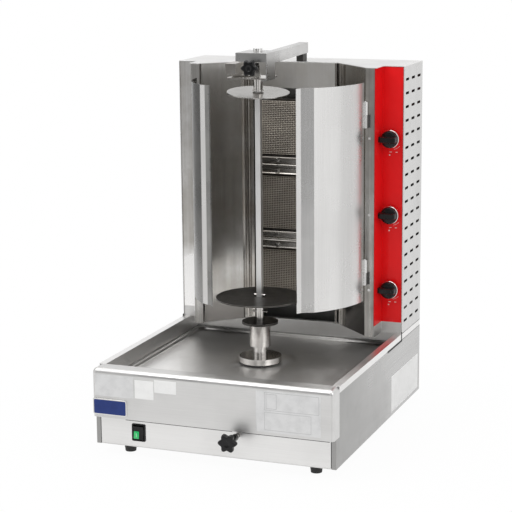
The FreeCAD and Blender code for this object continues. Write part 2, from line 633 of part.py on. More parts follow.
def star_knob(face, length, radius, x, z, lobes, stud=None):
    """A lobed clamping knob with its boss; the screw turns in its blind bore, or is moulded in."""
    pieces = [rod("y", f"{radius} * 0.82", face, f"{face} + {length}", x=x, z=z),
              rod("y", f"{radius} * 0.45", f"{face} + {length}", f"{face} + {length} + 7", x=x, z=z)]
    for lobe in range(lobes):
        angle = f"({lobe} * 360 / {lobes})"
        pieces.append(rod("y", f"{radius} * 0.26", face, f"{face} + {length}", x=f"{x} + {radius} * 0.74 * cos({angle})",
                          z=f"{z} + {radius} * 0.74 * sin({angle})"))
    if stud:
        return join(*pieces, rod("y", "screw_radius", f"{face} + {length}", stud, x=x, z=z))
    bore = rod("y", "screw_radius + running_play", f"{face} + 6", f"{face} + {length} + 8", x=x, z=z)
    return cut(join(*pieces), bore)


# --- top arm -------------------------------------------------------------------------------------------
def make_top_arm():
    y_low, y_high, y_end = from_front("head_front"), from_front("head_back"), from_front("arm_end")
    y_deep = from_front("head_deep")
    guide_low = "head_low - slider_metal - 2 * play - arm_metal"
    top_z = ("arm_high - arm_metal", "arm_high")
    # the arm's side plate runs back and in towards the middle
    side_line = [("head_half", y_low), ("head_half", y_high), ("arm_end_x", y_end)]
    side = bent_sheet(side_line, "arm_low", "arm_high", "arm_metal")
    flange_line = side_line + [(f"{x} - arm_flange", y) for x, y in reversed(side_line)]
    flange, _ = pad("arm_flange", "XY_Plane", flange_line, "arm_metal")
    place(flange, z=top_z[0])
    pieces = [
        side,
        flange,
        block(("head_half - arm_metal", "head_half"), (y_low, y_deep), (guide_low, "arm_high")),
        block(("-head_half", "head_half"), (y_low, y_high), top_z),
        block(("-head_half", "head_half"), (y_low, f"{y_low} + arm_metal"), ("head_lip", "arm_high")),
        block(("-head_half", "-head_half + arm_metal"), (y_low, y_high), ("head_lip", "arm_high")),
        block(("head_half - 12", "head_half"), (y_low, y_deep), (guide_low, f"{guide_low} + arm_metal")),
    ]
    keep(join(*pieces), "top_arm")
    foot = block(("arm_end_x - arm_flange + 2", "arm_end_x - arm_metal - play"), (f"{y_end} - 28", f"{y_end} - 2"),
                 ("body_height", "arm_high - arm_metal"))
    keep(foot, "arm_foot")

    plate_z = ("head_low - slider_metal - play", "head_low - play")
    stub_way = "stub_radius + running_play"
    plate = block(("-latch_x - latch_side / 2", "head_half - arm_metal - play"), (f"{y_low} + 2", f"{from_front('latch_setback')} + 12"),
                  plate_z)
    lug = block(("top_star_x - 9", "top_star_x + 9"), (from_front("lug_front"), f"{from_front('lug_front')} + 5"),
                (plate_z[1], "top_star_z + 9"))
    stud_way = rod("y", "screw_radius + running_play", f"{from_front('lug_front')} - 1", f"{from_front('lug_front')} + 6",
                   x="top_star_x", z="top_star_z")
    round_way = rod("z", stub_way, f"{plate_z[0]} - 1", f"{plate_z[1]} + 1", y=AXIS_Y)
    exit_way = block(("-latch_x - latch_side", "0"), (f"{AXIS_Y} - ({stub_way})", f"{AXIS_Y} + {stub_way}"),
                     (f"{plate_z[0]} - 1", f"{plate_z[1]} + 1"))
    keep(cut(join(plate, lug), stud_way, round_way, exit_way), "bearing_slider")

    pivot_y = from_front("latch_setback")
    half = "latch_side / 2"
    bar = block((f"-latch_x - {half}", f"-latch_x + {half}"), (from_front("latch_front"), f"{pivot_y} + {half} - 2"),
                ("latch_low", "latch_high"))
    boss = rod("z", "9", "head_low", "latch_low", x="-latch_x", y=pivot_y)
    tongue = block((f"-latch_x - {half}", "-stub_radius - 2"), (f"{AXIS_Y} - 14", f"{AXIS_Y} + 10"),
                   ("head_low + play", "head_low + play + 2.5"))
    web = block((f"-latch_x - {half}", f"-latch_x + {half}"), (f"{AXIS_Y} - 14", f"{AXIS_Y} + 10"),
                ("head_low + play", "latch_low"))
    bore = rod("z", "screw_radius + running_play", "head_low - 1", "latch_high + 1", x="-latch_x", y=pivot_y)
    keep(cut(join(bar, boss, tongue, web), bore), "latch_bar")
    latch_pin = join(rod("z", "screw_radius", "head_low - play", "latch_high + play", x="-latch_x", y=pivot_y),
                     rod("z", "7", "latch_high + play", "latch_high + 5", x="-latch_x", y=pivot_y))
    keep(latch_pin, "latch_pin")
    keep(star_knob(from_front("top_star_face"), "top_star_length", "top_star_radius", "top_star_x", "top_star_z", 6,
                   stud=f"{from_front('lug_front')} + 9"), "top_star_knob")


# --- switch, gland and screws ------------------------------------------------------------------------
def make_trim():
    y_front = f"{FRONT} + panel_recess"
    half_w, half_t = "switch_width / 2", "switch_tall / 2"
    frame = join(block((f"-switch_x - {half_w}", f"-switch_x + {half_w}"), (f"{y_front} - 2.5", y_front),
                       (f"switch_z - {half_t}", f"switch_z + {half_t}")),
                 block((f"-switch_x - {half_w} + 2.2", f"-switch_x + {half_w} - 2.2"), (y_front, f"{y_front} + 26"),
                       (f"switch_z - {half_t} + 2.2", f"switch_z + {half_t} - 2.2")))
    well = block(("-switch_x - rocker_width / 2 - play", "-switch_x + rocker_width / 2 + play"),
                 (f"{y_front} - 3", f"{y_front} + 16"),
                 ("switch_z - rocker_tall / 2 - 1.6", "switch_z + rocker_tall / 2 + 1.6"))
    keep(cut(frame, well), "switch_frame")
    rocker, _ = pad("switch_rocker", "YZ_Plane",
                    [(f"{y_front} + 7", "switch_z - 6"), (f"{y_front} - 1", "switch_z - rocker_tall / 2"),
                     (f"{y_front} - 4.5", "switch_z - rocker_tall / 2"), (f"{y_front} - 2.5", "switch_z"),
                     (f"{y_front} - 4.5", "switch_z + rocker_tall / 2"), (f"{y_front} - 1", "switch_z + rocker_tall / 2"),
                     (f"{y_front} + 7", "switch_z + 6")], "rocker_width")
    keep(place(rocker, x="-switch_x - rocker_width / 2"), "switch_rocker")

    gland = join(rod("y", "gland_radius", BACK, f"{BACK} + 8", x="-gland_x", z="inlet_z"),
                 rod("y", "gland_radius - 3", f"{BACK} - 12", BACK, x="-gland_x", z="inlet_z"),
                 rod("y", "gland_radius * 0.7", f"{BACK} + 8", f"{BACK} + 16", x="-gland_x", z="inlet_z"))
    keep(cut(gland, rod("y", "3.8", f"{BACK} - 13", f"{BACK} + 17", x="-gland_x", z="inlet_z")), "cable_gland")

    screws = []
    y_post = from_front("post_setback")
    for height in DIAL_HEIGHTS:
        screws.append(rod("y", "3.2", f"{y_post} - 2", y_post, x="(post_inner + post_outer) / 2", z=f"{height} + 6"))
    top_bolt = rod("z", "bolt_radius", "arm_high", "arm_high + 7", y=AXIS_Y)
    keep(group(both_sides(group(*screws)), top_bolt), "panel_screws")


make_feet()
make_base()
make_tray()
make_drip_pan()
make_cabinet()
make_fascias()
make_inner_cabinet()
make_burners()
make_gas_train()
for place_name, height in zip(("bottom", "middle", "top"), DIAL_HEIGHTS):
    make_control_knob(place_name, height)
make_doors()
make_spit()
make_drive()
make_top_arm()
make_trim()
doc.recompute()

faults = [f"{obj.Name} {obj.State}" for obj in doc.Objects if "Invalid" in obj.State or "Error" in obj.State]
faults += [f"{obj.Label} has no valid shape" for obj in PARTS if obj.Shape.isNull() or not obj.Shape.isValid()]
if faults:
    raise RuntimeError("; ".join(faults))

os.makedirs("parts", exist_ok=True)
for obj in PARTS:
    obj.Shape.exportStep(f"parts/{obj.Label}.step")
print(len(PARTS), "nodes")
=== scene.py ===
import math

import bmesh
import bpy
from mathutils import Matrix, Vector


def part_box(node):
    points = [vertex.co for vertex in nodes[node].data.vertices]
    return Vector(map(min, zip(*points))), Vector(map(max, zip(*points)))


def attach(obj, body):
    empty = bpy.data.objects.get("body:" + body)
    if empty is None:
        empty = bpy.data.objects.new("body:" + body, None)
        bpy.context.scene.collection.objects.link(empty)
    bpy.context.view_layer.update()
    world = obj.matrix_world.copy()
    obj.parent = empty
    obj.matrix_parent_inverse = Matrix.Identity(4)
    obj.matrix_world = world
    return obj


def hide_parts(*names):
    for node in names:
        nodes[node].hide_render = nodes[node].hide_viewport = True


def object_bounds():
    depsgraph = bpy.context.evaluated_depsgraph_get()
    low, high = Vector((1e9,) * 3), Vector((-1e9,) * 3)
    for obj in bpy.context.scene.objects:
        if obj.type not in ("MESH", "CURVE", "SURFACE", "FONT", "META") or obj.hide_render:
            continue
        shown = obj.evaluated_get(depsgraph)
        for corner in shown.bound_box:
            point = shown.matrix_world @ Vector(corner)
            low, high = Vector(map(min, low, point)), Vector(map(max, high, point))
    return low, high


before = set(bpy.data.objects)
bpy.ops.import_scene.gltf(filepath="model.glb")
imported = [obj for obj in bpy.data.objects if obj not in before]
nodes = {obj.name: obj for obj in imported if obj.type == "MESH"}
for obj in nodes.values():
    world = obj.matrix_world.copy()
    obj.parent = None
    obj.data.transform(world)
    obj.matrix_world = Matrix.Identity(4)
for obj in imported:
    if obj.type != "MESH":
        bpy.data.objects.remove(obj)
cad_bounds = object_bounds()

# ---- Studio --------------------------------------------------------------------------------------
# The oven stands on a white floor that runs out of sight. Soft panels light it from above and both
# sides, and grey cards that only the metal sees give the bright sheets their darker side.
low, high = (Vector(corner) for corner in cad_bounds)
centre = (low + high) / 2
floor_half = 12.0
floor_white = 0.88
fade_start, fade_end, fade_near = 0.30, 0.75, 0.95
world_fill = 0.58


def add_node(tree, kind, feeds=None, **settings):
    """A new node with its settings, and each socket either set or linked."""
    fresh = tree.nodes.new(kind)
    for name, setting in settings.items():
        setattr(fresh, name, setting)
    for socket, source in (feeds or {}).items():
        if isinstance(source, bpy.types.NodeSocket):
            tree.links.new(source, fresh.inputs[socket])
        else:
            fresh.inputs[socket].default_value = source
    return fresh


def reckon(tree, operation, first, second=0.0, third=0.0):
    """The result of one sum on values or masks."""
    return add_node(tree, "ShaderNodeMath", {0: first, 1: second, 2: third}, operation=operation).outputs[0]


def spread(tree, amount, start, end, low_end=0.0, high_end=1.0):
    """The amount moved from one range to another and held inside it."""
    feeds = {"Value": amount, "From Min": start, "From Max": end, "To Min": low_end, "To Max": high_end}
    return add_node(tree, "ShaderNodeMapRange", feeds).outputs["Result"]


def background_rays(tree):
    """1 where the camera, a reflection or glass looks at the background."""
    rays = add_node(tree, "ShaderNodeLightPath")
    seen = reckon(tree, "MAXIMUM", rays.outputs["Is Camera Ray"], rays.outputs["Is Glossy Ray"])
    return reckon(tree, "MAXIMUM", seen, rays.outputs["Is Transmission Ray"])


def flat_sheet(name, corners):
    """One flat face through its corners."""
    mesh = bpy.data.meshes.new(name)
    mesh.from_pydata([tuple(corner) for corner in corners], [], [range(len(corners))])
    sheet = bpy.data.objects.new(name, mesh)
    bpy.context.scene.collection.objects.link(sheet)
    return sheet


floor_corners = [(-floor_half, -floor_half, 0), (floor_half, -floor_half, 0),
                 (floor_half, floor_half, 0), (-floor_half, floor_half, 0)]
floor = flat_sheet("studio_floor", floor_corners)
floor_paint = bpy.data.materials.new("studio_white")
floor_paint.use_nodes = True
paint = floor_paint.node_tree
floor_shader = paint.nodes["Principled BSDF"]
floor_shader.inputs["Base Color"].default_value = (floor_white, floor_white, floor_white, 1)
floor_shader.inputs["Roughness"].default_value = 0.95
floor_shader.inputs["Specular IOR Level"].default_value = 0.1
place_on_floor = add_node(paint, "ShaderNodeNewGeometry").outputs["Position"]
distance = add_node(paint, "ShaderNodeVectorMath", {0: place_on_floor}, operation="LENGTH").outputs["Value"]
away = spread(paint, distance, fade_start, fade_end, fade_near, 1.0)
glow = add_node(paint, "ShaderNodeEmission", {"Color": (1, 1, 1, 1), "Strength": 1.0})
faded = add_node(paint, "ShaderNodeMixShader", {0: reckon(paint, "MULTIPLY", away, background_rays(paint)),
                                                1: floor_shader.outputs[0], 2: glow.outputs[0]})
paint.links.new(faded.outputs[0], paint.nodes["Material Output"].inputs["Surface"])
floor.data.materials.append(floor_paint)

world = bpy.data.worlds.new("studio_light")
bpy.context.scene.world = world
world.use_nodes = True
sky = world.node_tree
backdrop = sky.nodes["Background"]
backdrop.inputs["Color"].default_value = (1, 1, 1, 1)
sky.links.new(spread(sky, background_rays(sky), 0.0, 1.0, world_fill, 1.0), backdrop.inputs["Strength"])


def soft_panel(name, spot, size, power):
    """A rectangular lamp that faces the middle of the oven."""
    lamp = bpy.data.lights.new(name, "AREA")
    lamp.shape = "RECTANGLE"
    lamp.size, lamp.size_y = size
    lamp.energy = power
    holder = bpy.data.objects.new(name, lamp)
    holder.location = centre + Vector(spot)
    holder.rotation_euler = (centre - holder.location).to_track_quat("-Z", "Y").to_euler()
    bpy.context.scene.collection.objects.link(holder)


def grey_card(name, corners, shade):
    """A studio card that shows only in reflections."""
    card = flat_sheet(name, corners)
    card.visible_camera = False
    card.visible_diffuse = False
    card.visible_transmission = False
    card.visible_shadow = False
    card_paint = bpy.data.materials.new(name)
    card_paint.use_nodes = True
    tree = card_paint.node_tree
    dim = add_node(tree, "ShaderNodeEmission", {"Color": (shade, shade, shade, 1), "Strength": 1.0})
    tree.links.new(dim.outputs[0], tree.nodes["Material Output"].inputs["Surface"])
    card.data.materials.append(card_paint)


def upright(first, second, bottom, top):
    """The corners of an upright card over two points of the floor."""
    return [(*first, bottom), (*second, bottom), (*second, top), (*first, top)]


soft_panel("key_light", (-1.3, -1.7, 2.2), (1.4, 1.4), 24)
soft_panel("side_light", (2.4, -1.2, 1.6), (1.2, 1.6), 12)
soft_panel("top_light", (0.0, 0.1, 2.3), (2.6, 2.2), 24)
grey_card("right_card", upright((0.9, 0.2), (1.9, 2.4), 0.01, 1.5), 0.80)
grey_card("front_card", upright((-1.38, -1.40), (0.08, -1.96), 0.10, 1.6), 0.28)
grey_card("near_card", upright((0.43, -1.17), (0.93, -0.84), 0.01, 1.5), 0.42)
grey_card("left_card", upright((-1.9, -0.2), (-1.7, 1.6), 0.01, 1.2), 0.35)
grey_card("high_card", [(-0.9, 1.4, 1.5), (0.9, 1.4, 1.5), (0.9, 0.7, 2.3), (-0.9, 0.7, 2.3)], 0.35)

camera_azimuth, camera_height, camera_roll = 0.369, 0.205, -0.009
camera_distance = 3.65
aim_offset = Vector((0.015, -0.073, -0.0165))
aim = centre + aim_offset
lens = bpy.data.cameras.new("camera")
lens.lens = 116.6
lens.sensor_width = 36
camera = bpy.data.objects.new("camera", lens)
toward_camera = Vector((math.sin(camera_azimuth) * math.cos(camera_height),
                        -math.cos(camera_azimuth) * math.cos(camera_height), math.sin(camera_height)))
camera.location = aim + camera_distance * toward_camera
facing = (-toward_camera).to_track_quat("-Z", "Y").to_matrix()
camera.rotation_euler = (facing @ Matrix.Rotation(camera_roll, 3, "Z")).to_euler()
bpy.context.scene.collection.objects.link(camera)
bpy.context.scene.camera = camera
bpy.context.scene.view_settings.view_transform = "Standard"

# ---- Folded stainless sheet: base box, tray surround and cabinet shell ---------------------------
# The shell is 1.5 mm rolled stainless sheet, folded and spot welded, with the fine lines of the mill
# along each panel, cloudy wiping marks over them and soft folded edges. Some sheets are painted
# darker toward one end as painted shade: the base sides toward the front, the tray toward the back.
ALONG_X, ALONG_Y, ALONG_Z = (9, 420, 420), (420, 9, 420), (420, 420, 9)


def effect(name, takes):
    """An empty node group with its named inputs, which gives a colour, a roughness and a fine height."""
    tree = bpy.data.node_groups.new(name, "ShaderNodeTree")
    for label, kind, preset in takes:
        socket = tree.interface.new_socket(name=label, in_out="INPUT", socket_type=f"NodeSocket{kind}")
        socket.default_value = preset
    for label, kind in (("Color", "Color"), ("Roughness", "Float"), ("Height", "Float")):
        tree.interface.new_socket(name=label, in_out="OUTPUT", socket_type=f"NodeSocket{kind}")
    return tree, tree.nodes.new("NodeGroupInput").outputs, tree.nodes.new("NodeGroupOutput").inputs


def surface_point(tree):
    """Where a point of the surface lies on its piece."""
    return add_node(tree, "ShaderNodeTexCoord").outputs["Object"]


def speckle(tree, vector, scale, detail=3.0, roughness=0.55):
    """Soft noise between 0 and 1 over the surface."""
    feeds = {"Vector": vector, "Scale": scale, "Detail": detail, "Roughness": roughness}
    return add_node(tree, "ShaderNodeTexNoise", feeds).outputs["Fac"]


def tint(tree, share, first, second):
    """The first colour turning into the second."""
    return add_node(tree, "ShaderNodeMix", {0: share, 6: first, 7: second}, data_type="RGBA").outputs[2]


rolled, taken, given = effect(
    "rolled_grain",
    [("Stretch", "Vector", ALONG_X), ("Bright", "Color", (0.7, 0.7, 0.7, 1)),
     ("Dull", "Color", (0.5, 0.5, 0.5, 1)), ("Smooth", "Float", 0.2), ("Rough", "Float", 0.35),
     ("Wiping", "Float", 1.0), ("Painted shade", "Color", (0.4, 0.4, 0.4, 1)), ("Painted shade from", "Float", 10.0),
     ("Painted shade to", "Float", 11.0)])
spot = surface_point(rolled)
drawn = add_node(rolled, "ShaderNodeVectorMath", {0: spot, 1: taken["Stretch"]},
                 operation="MULTIPLY").outputs[0]
lines = speckle(rolled, drawn, 1.0, 3.0, 0.7)
bands = speckle(rolled, drawn, 0.08, 2.0, 0.5)
clouds = speckle(rolled, spot, 5.5, 5.0, 0.6)
prints = speckle(rolled, spot, 31.0, 3.0, 0.6)
smears = reckon(rolled, "MULTIPLY", spread(rolled, clouds, 0.44, 0.66), taken["Wiping"])
spots = reckon(rolled, "MULTIPLY", spread(rolled, prints, 0.52, 0.7), smears)
tone = reckon(rolled, "MULTIPLY_ADD", lines, 0.5, reckon(rolled, "MULTIPLY", bands, 0.5))
worn_tone = reckon(rolled, "SUBTRACT", spread(rolled, tone, 0.2, 0.8),
                   reckon(rolled, "MULTIPLY", smears, 0.22))
sheet_colour = tint(rolled, spread(rolled, worn_tone, -0.2, 1.0), taken["Dull"], taken["Bright"])
# Painted shade: between the given ends along Y the colour turns to the shade colour, with a cloudy edge.
toward_back = add_node(rolled, "ShaderNodeSeparateXYZ", {0: spot}).outputs["Y"]
uneven_back = reckon(rolled, "MULTIPLY_ADD", clouds, 0.16, toward_back)
age = spread(rolled, uneven_back, taken["Painted shade from"], taken["Painted shade to"])
rolled.links.new(tint(rolled, age, sheet_colour, taken["Painted shade"]), given["Color"])
haze = reckon(rolled, "MULTIPLY_ADD", smears, 0.55, reckon(rolled, "MULTIPLY_ADD", spots, 0.35,
                                                         reckon(rolled, "MULTIPLY", lines, 0.3)))
rolled.links.new(spread(rolled, haze, 0.0, 1.0, taken["Smooth"], taken["Rough"]), given["Roughness"])
rolled.links.new(lines, given["Height"])


def finished(name, group, values, metallic, bump=0.1, bump_depth=0.0002, edge=0.0004, fixed=None):
    """A material whose colour, roughness and fine relief come from one effect, with soft edges."""
    material = bpy.data.materials.new(name)
    material.use_nodes = True
    tree = material.node_tree
    shader = tree.nodes["Principled BSDF"]
    shader.inputs["Metallic"].default_value = metallic
    for socket, amount in (fixed or {}).items():
        shader.inputs[socket].default_value = amount
    source = tree.nodes.new("ShaderNodeGroup")
    source.node_tree = group
    for socket, amount in values.items():
        source.inputs[socket].default_value = amount
    tree.links.new(source.outputs["Color"], shader.inputs["Base Color"])
    tree.links.new(source.outputs["Roughness"], shader.inputs["Roughness"])
    feeds = {"Strength": bump, "Distance": bump_depth, "Height": source.outputs["Height"]}
    if edge:
        feeds["Normal"] = add_node(tree, "ShaderNodeBevel", {"Radius": edge}, samples=6).outputs[0]
    relief = add_node(tree, "ShaderNodeBump", feeds)
    tree.links.new(relief.outputs[0], shader.inputs["Normal"])
    return material


def dress(material, *names):
    """Give the finish to whole sub-parts that keep their made shape."""
    for name in names:
        for slot in nodes[name].material_slots:
            slot.material = material


def sheet_steel(name, stretch, bright=0.70, dull=0.54, smooth=0.22, rough=0.42, wiping=1.0, painted_shade=None,
                fixed=None):
    """Rolled stainless with its grain along one direction, and where it is painted darker toward one end as
    painted shade, that colour and reach.
    """
    colours = {"Bright": (bright, bright * 0.992, bright * 0.98, 1),
               "Dull": (dull, dull * 0.99, dull * 0.975, 1)}
    values = {"Stretch": stretch, "Smooth": smooth, "Rough": rough, "Wiping": wiping, **colours,
              **(painted_shade or {})}
    return finished(name, rolled, values, 1.0, fixed=fixed)


# Painted light and shade: these copies are one stainless painted lighter or darker by where light falls. The
# lighter panel copy on the front panel and top cover and the lighter rim copy on the tray surround are
# painted light. The darker side copy on the base sides is painted shade.
front_sheet = sheet_steel("front_sheet_steel", ALONG_X, 0.74, 0.60, 0.30, 0.50)
lit_panel_sheet = sheet_steel("panel_sheet_steel", ALONG_X, 0.84, 0.72, 0.26, 0.44)
lit_rim_sheet = sheet_steel("rim_sheet_steel", ALONG_Y, 0.88, 0.76, 0.28, 0.46)
shaded_side_sheet = sheet_steel("side_sheet_steel", ALONG_Y, 0.54, 0.40, 0.24, 0.42,
                         painted_shade={"Painted shade": (0.34, 0.337, 0.33, 1), "Painted shade from": 0.20, "Painted shade to": -0.22})
upright_sheet = sheet_steel("upright_sheet_steel", ALONG_Z, 0.66, 0.50)
dress(lit_panel_sheet, "base_front_panel", "top_cover")
dress(front_sheet, "front_apron", "base_back_panel", "base_bottom_panel", "cabinet_back",
      "fascia_sills", "carriage_rails", "motor_carriage")
dress(lit_rim_sheet, "tray_surround")
dress(shaded_side_sheet, "base_side_left", "base_side_right")
dress(upright_sheet, "cabinet_side_left", "cabinet_side_right")

# ---- Feet and seal: moulded rubber ---------------------------------------------------------------
# Four moulded rubber feet screwed under the base, and the rubber ring that seals the shaft where it
# comes up through the tray. The moulding leaves a fine matt pebble.
moulded, taken, given = effect(
    "moulded_skin",
    [("Light", "Color", (0.05, 0.05, 0.05, 1)), ("Dark", "Color", (0.02, 0.02, 0.02, 1)),
     ("Grain size", "Float", 900.0), ("Smooth", "Float", 0.4), ("Rough", "Float", 0.7)])
spot = surface_point(moulded)
pebble = speckle(moulded, spot, taken["Grain size"], 2.0, 0.5)
dust = speckle(moulded, spot, 22.0, 5.0, 0.65)
dusty = spread(moulded, dust, 0.45, 0.72)
moulded.links.new(
    tint(moulded, reckon(moulded, "MULTIPLY_ADD", pebble, 0.25, reckon(moulded, "MULTIPLY", dusty, 0.6)),
         taken["Dark"], taken["Light"]), given["Color"])
moulded.links.new(
    spread(moulded, reckon(moulded, "MULTIPLY_ADD", dusty, 0.6, reckon(moulded, "MULTIPLY", pebble, 0.4)),
           0.0, 1.0, taken["Smooth"], taken["Rough"]), given["Roughness"])
moulded.links.new(pebble, given["Height"])
rubber = finished("foot_rubber", moulded, {"Light": (0.045, 0.043, 0.04, 1), "Dark": (0.012, 0.012, 0.012, 1),
                                           "Smooth": 0.55, "Rough": 0.8}, 0.0, 0.25)
dress(rubber, "feet", "seal_ring")

# ---- Drip tray -----------------------------------------------------------------------------------
# One pressed stainless pan with a flat flange, rounded corners and a shallow floor, let into the tray
# surround. Its floor is polished smooth, and the shaft comes up through an oblong hole. Its steel is a
# lighter copy, painted light, and it turns darker toward the back under the cabinet, painted shade.
corner_steps = 7


def oblong(half_u, half_v, corner, middle=(0.0, 0.0)):
    """A rectangle with round corners, as points in its own plane."""
    points = []
    for quarter, (side_u, side_v) in enumerate([(1, 1), (-1, 1), (-1, -1), (1, -1)]):
        for step in range(corner_steps + 1):
            angle = math.radians(90 * (quarter + step / corner_steps))
            points.append((middle[0] + side_u * (half_u - corner) + corner * math.cos(angle),
                           middle[1] + side_v * (half_v - corner) + corner * math.sin(angle)))
    return points


def level(outline, axis, along):
    """The outline laid square to an axis, at a height along it."""
    turn = "xyz".index(axis)
    return [Vector((*point[:turn], along, *point[turn:])) for point in outline]


def face_outward(mesh):
    """Turn every face of a closed mesh to its outer side."""
    shell = bmesh.new()
    shell.from_mesh(mesh)
    bmesh.ops.recalc_face_normals(shell, faces=shell.faces)
    shell.to_mesh(mesh)
    shell.free()


def skinned(name, rings, capped=True, sharp=38.0):
    """A mesh stretched over rings of points that all have the same count."""
    count = len(rings[0])
    faces = [(row * count + step, row * count + (step + 1) % count,
              (row + 1) * count + (step + 1) % count, (row + 1) * count + step)
             for row in range(len(rings) - 1) for step in range(count)]
    if capped:
        faces += [tuple(reversed(range(count))), tuple(range((len(rings) - 1) * count, len(rings) * count))]
    mesh = bpy.data.meshes.new(name)
    mesh.from_pydata([tuple(point) for ring in rings for point in ring], [], faces)
    face_outward(mesh)
    mesh.shade_smooth()
    mesh.set_sharp_from_angle(angle=math.radians(sharp))
    return mesh


def fit(name, mesh, material, body, replaced=()):
    """A finished piece, riding on its body and standing for the plain sub-parts it replaces."""
    piece = bpy.data.objects.new(name, mesh)
    bpy.context.scene.collection.objects.link(piece)
    if material.name not in [kept.name for kept in mesh.materials]:
        mesh.materials.append(material)
    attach(piece, body)
    if replaced:
        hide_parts(*replaced)
    return piece


pan_low, pan_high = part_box("drip_pan")
pan_middle = ((pan_low.x + pan_high.x) / 2, (pan_low.y + pan_high.y) / 2)
pan_half_x, pan_half_y = (pan_high.x - pan_low.x) / 2, (pan_high.y - pan_low.y) / 2
sheet_metal = 0.0015
pan_floor = pan_low.z + sheet_metal
shaft_low, shaft_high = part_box("drive_shaft")
shaft_y = (shaft_low.y + shaft_high.y) / 2
hole_half, hole_travel = 0.013, 0.012
hole_middle = (0.0, shaft_y + hole_travel / 2)
pan_steps = [(0.0, pan_high.z, 0.004), (0.009, pan_high.z, 0.014), (0.0105, pan_high.z - 0.0006, 0.0155),
             (0.0118, pan_high.z - 0.0025, 0.0165), (0.0125, pan_floor + 0.0022, 0.018),
             (0.0140, pan_floor + 0.0006, 0.0195), (0.0165, pan_floor, 0.022)]
pan_rings = [level(oblong(pan_half_x - inset, pan_half_y - inset, corner, pan_middle), "z", height)
             for inset, height, corner in pan_steps]
pan_rings.append(level(oblong(0.075, 0.081, 0.04, hole_middle), "z", pan_floor))
pan_rings.append(
    level(oblong(hole_half, hole_half + hole_travel / 2, hole_half, hole_middle), "z", pan_floor))
# A lighter copy, painted light, turned darker toward the back as painted shade.
lit_tray_steel = sheet_steel("lit_tray_steel", ALONG_Y, 0.96, 0.86, 0.34, 0.56,
                         painted_shade={"Painted shade": (0.50, 0.49, 0.475, 1), "Painted shade from": -0.06, "Painted shade to": 0.20},
                         fixed={"Coat Weight": 0.35, "Coat Roughness": 0.05})
tray = fit("drip_tray", skinned("drip_tray", pan_rings, capped=False), lit_tray_steel, "frame",
           ["drip_pan"])
tray_thick = tray.modifiers.new("sheet", "SOLIDIFY")
tray_thick.thickness = sheet_metal
tray_thick.offset = -1.0

# ---- Apron shade strip ---------------------------------------------------------------------------
# A dark strip in the gap between the apron's lower edge and the panel set back under it is painted
# shade for the shade the apron casts there. It runs in two lengths that stop short of the sliding rod.
gap_low, gap_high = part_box("base_front_panel")
apron_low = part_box("front_apron")[0].z
strip_profile = ((-0.0002, 0.0002), (0.0030, 0.0002), (0.0030, 0.0048), (0.0022, 0.0060), (-0.0002, 0.0060))
rod_low, rod_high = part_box("front_star_knob")
rod_x = (rod_low.x + rod_high.x) / 2
rod_clearance = 0.012
left_gap, right_gap = 0.060, 0.002
for hand, ends in (("left", (gap_low.x + left_gap, rod_x - rod_clearance)),
                   ("right", (rod_x + rod_clearance, gap_high.x - right_gap))):
    strip_rings = [[Vector((x, gap_low.y - out, apron_low - drop)) for out, drop in strip_profile]
                   for x in ends]
    fit(f"apron_shade_strip_{hand}", skinned(f"apron_shade_strip_{hand}", strip_rings), rubber, "frame")

# ---- Badge plate and blank films -----------------------------------------------------------------
# A small enamelled plate in a pressed steel rim sits at the left end of the apron, left bare. Five
# blank printed films are stuck on the sheet, and the widest on the apron carries empty ruled frames.
film_thick = 0.00015

printed, taken, given = effect(
    "printed_film",
    [("Ink", "Color", (0.8, 0.8, 0.8, 1)), ("Rubbed", "Color", (0.7, 0.7, 0.7, 1)), ("Smooth", "Float", 0.3),
     ("Rough", "Float", 0.5)])
spot = surface_point(printed)
rub = spread(printed, speckle(printed, spot, 60.0, 5.0, 0.65), 0.4, 0.75)
printed.links.new(tint(printed, rub, taken["Ink"], taken["Rubbed"]), given["Color"])
printed.links.new(spread(printed, rub, 0.0, 1.0, taken["Smooth"], taken["Rough"]), given["Roughness"])
printed.links.new(speckle(printed, spot, 500.0, 2.0, 0.5), given["Height"])

white_film = finished("white_film", printed, {"Ink": (0.93, 0.93, 0.92, 1), "Rubbed": (0.87, 0.87, 0.86, 1)},
                      0.0, 0.05, edge=0)
silver_film = finished("silver_film", printed, {"Ink": (0.74, 0.74, 0.74, 1), "Rubbed": (0.66, 0.66, 0.66, 1),
                                                "Smooth": 0.32, "Rough": 0.5}, 0.55, 0.05, edge=0)
grey_ink = finished("grey_ink", printed, {"Ink": (0.42, 0.42, 0.42, 1), "Rubbed": (0.55, 0.55, 0.55, 1)},
                    0.0, 0.05, edge=0)
blue_enamel = finished(
    "blue_enamel", printed,
    {"Ink": (0.010, 0.030, 0.17, 1), "Rubbed": (0.014, 0.038, 0.20, 1), "Smooth": 0.12, "Rough": 0.22},
    0.0, 0.05, edge=0, fixed={"Specular IOR Level": 0.25, "Coat Weight": 0.15, "Coat Roughness": 0.08})
apron_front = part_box("front_apron")[0].y


def plate(name, across, up, face, thick, corner, material, axis="y"):
    """A thin plate stuck on a face, with its edge slightly rounded. Negative thickness points to -Y."""
    middle = (sum(across) / 2, sum(up) / 2)
    half = ((across[1] - across[0]) / 2, (up[1] - up[0]) / 2)
    soften = min(abs(thick) * 0.4, 0.0004)
    rings = [level(oblong(half[0] - inset, half[1] - inset, corner, middle), axis, face + thick * share)
             for inset, share in [(0, 0), (0, 0.6), (soften, 1.0)]]
    return fit(name, skinned(name, rings), material, "frame")


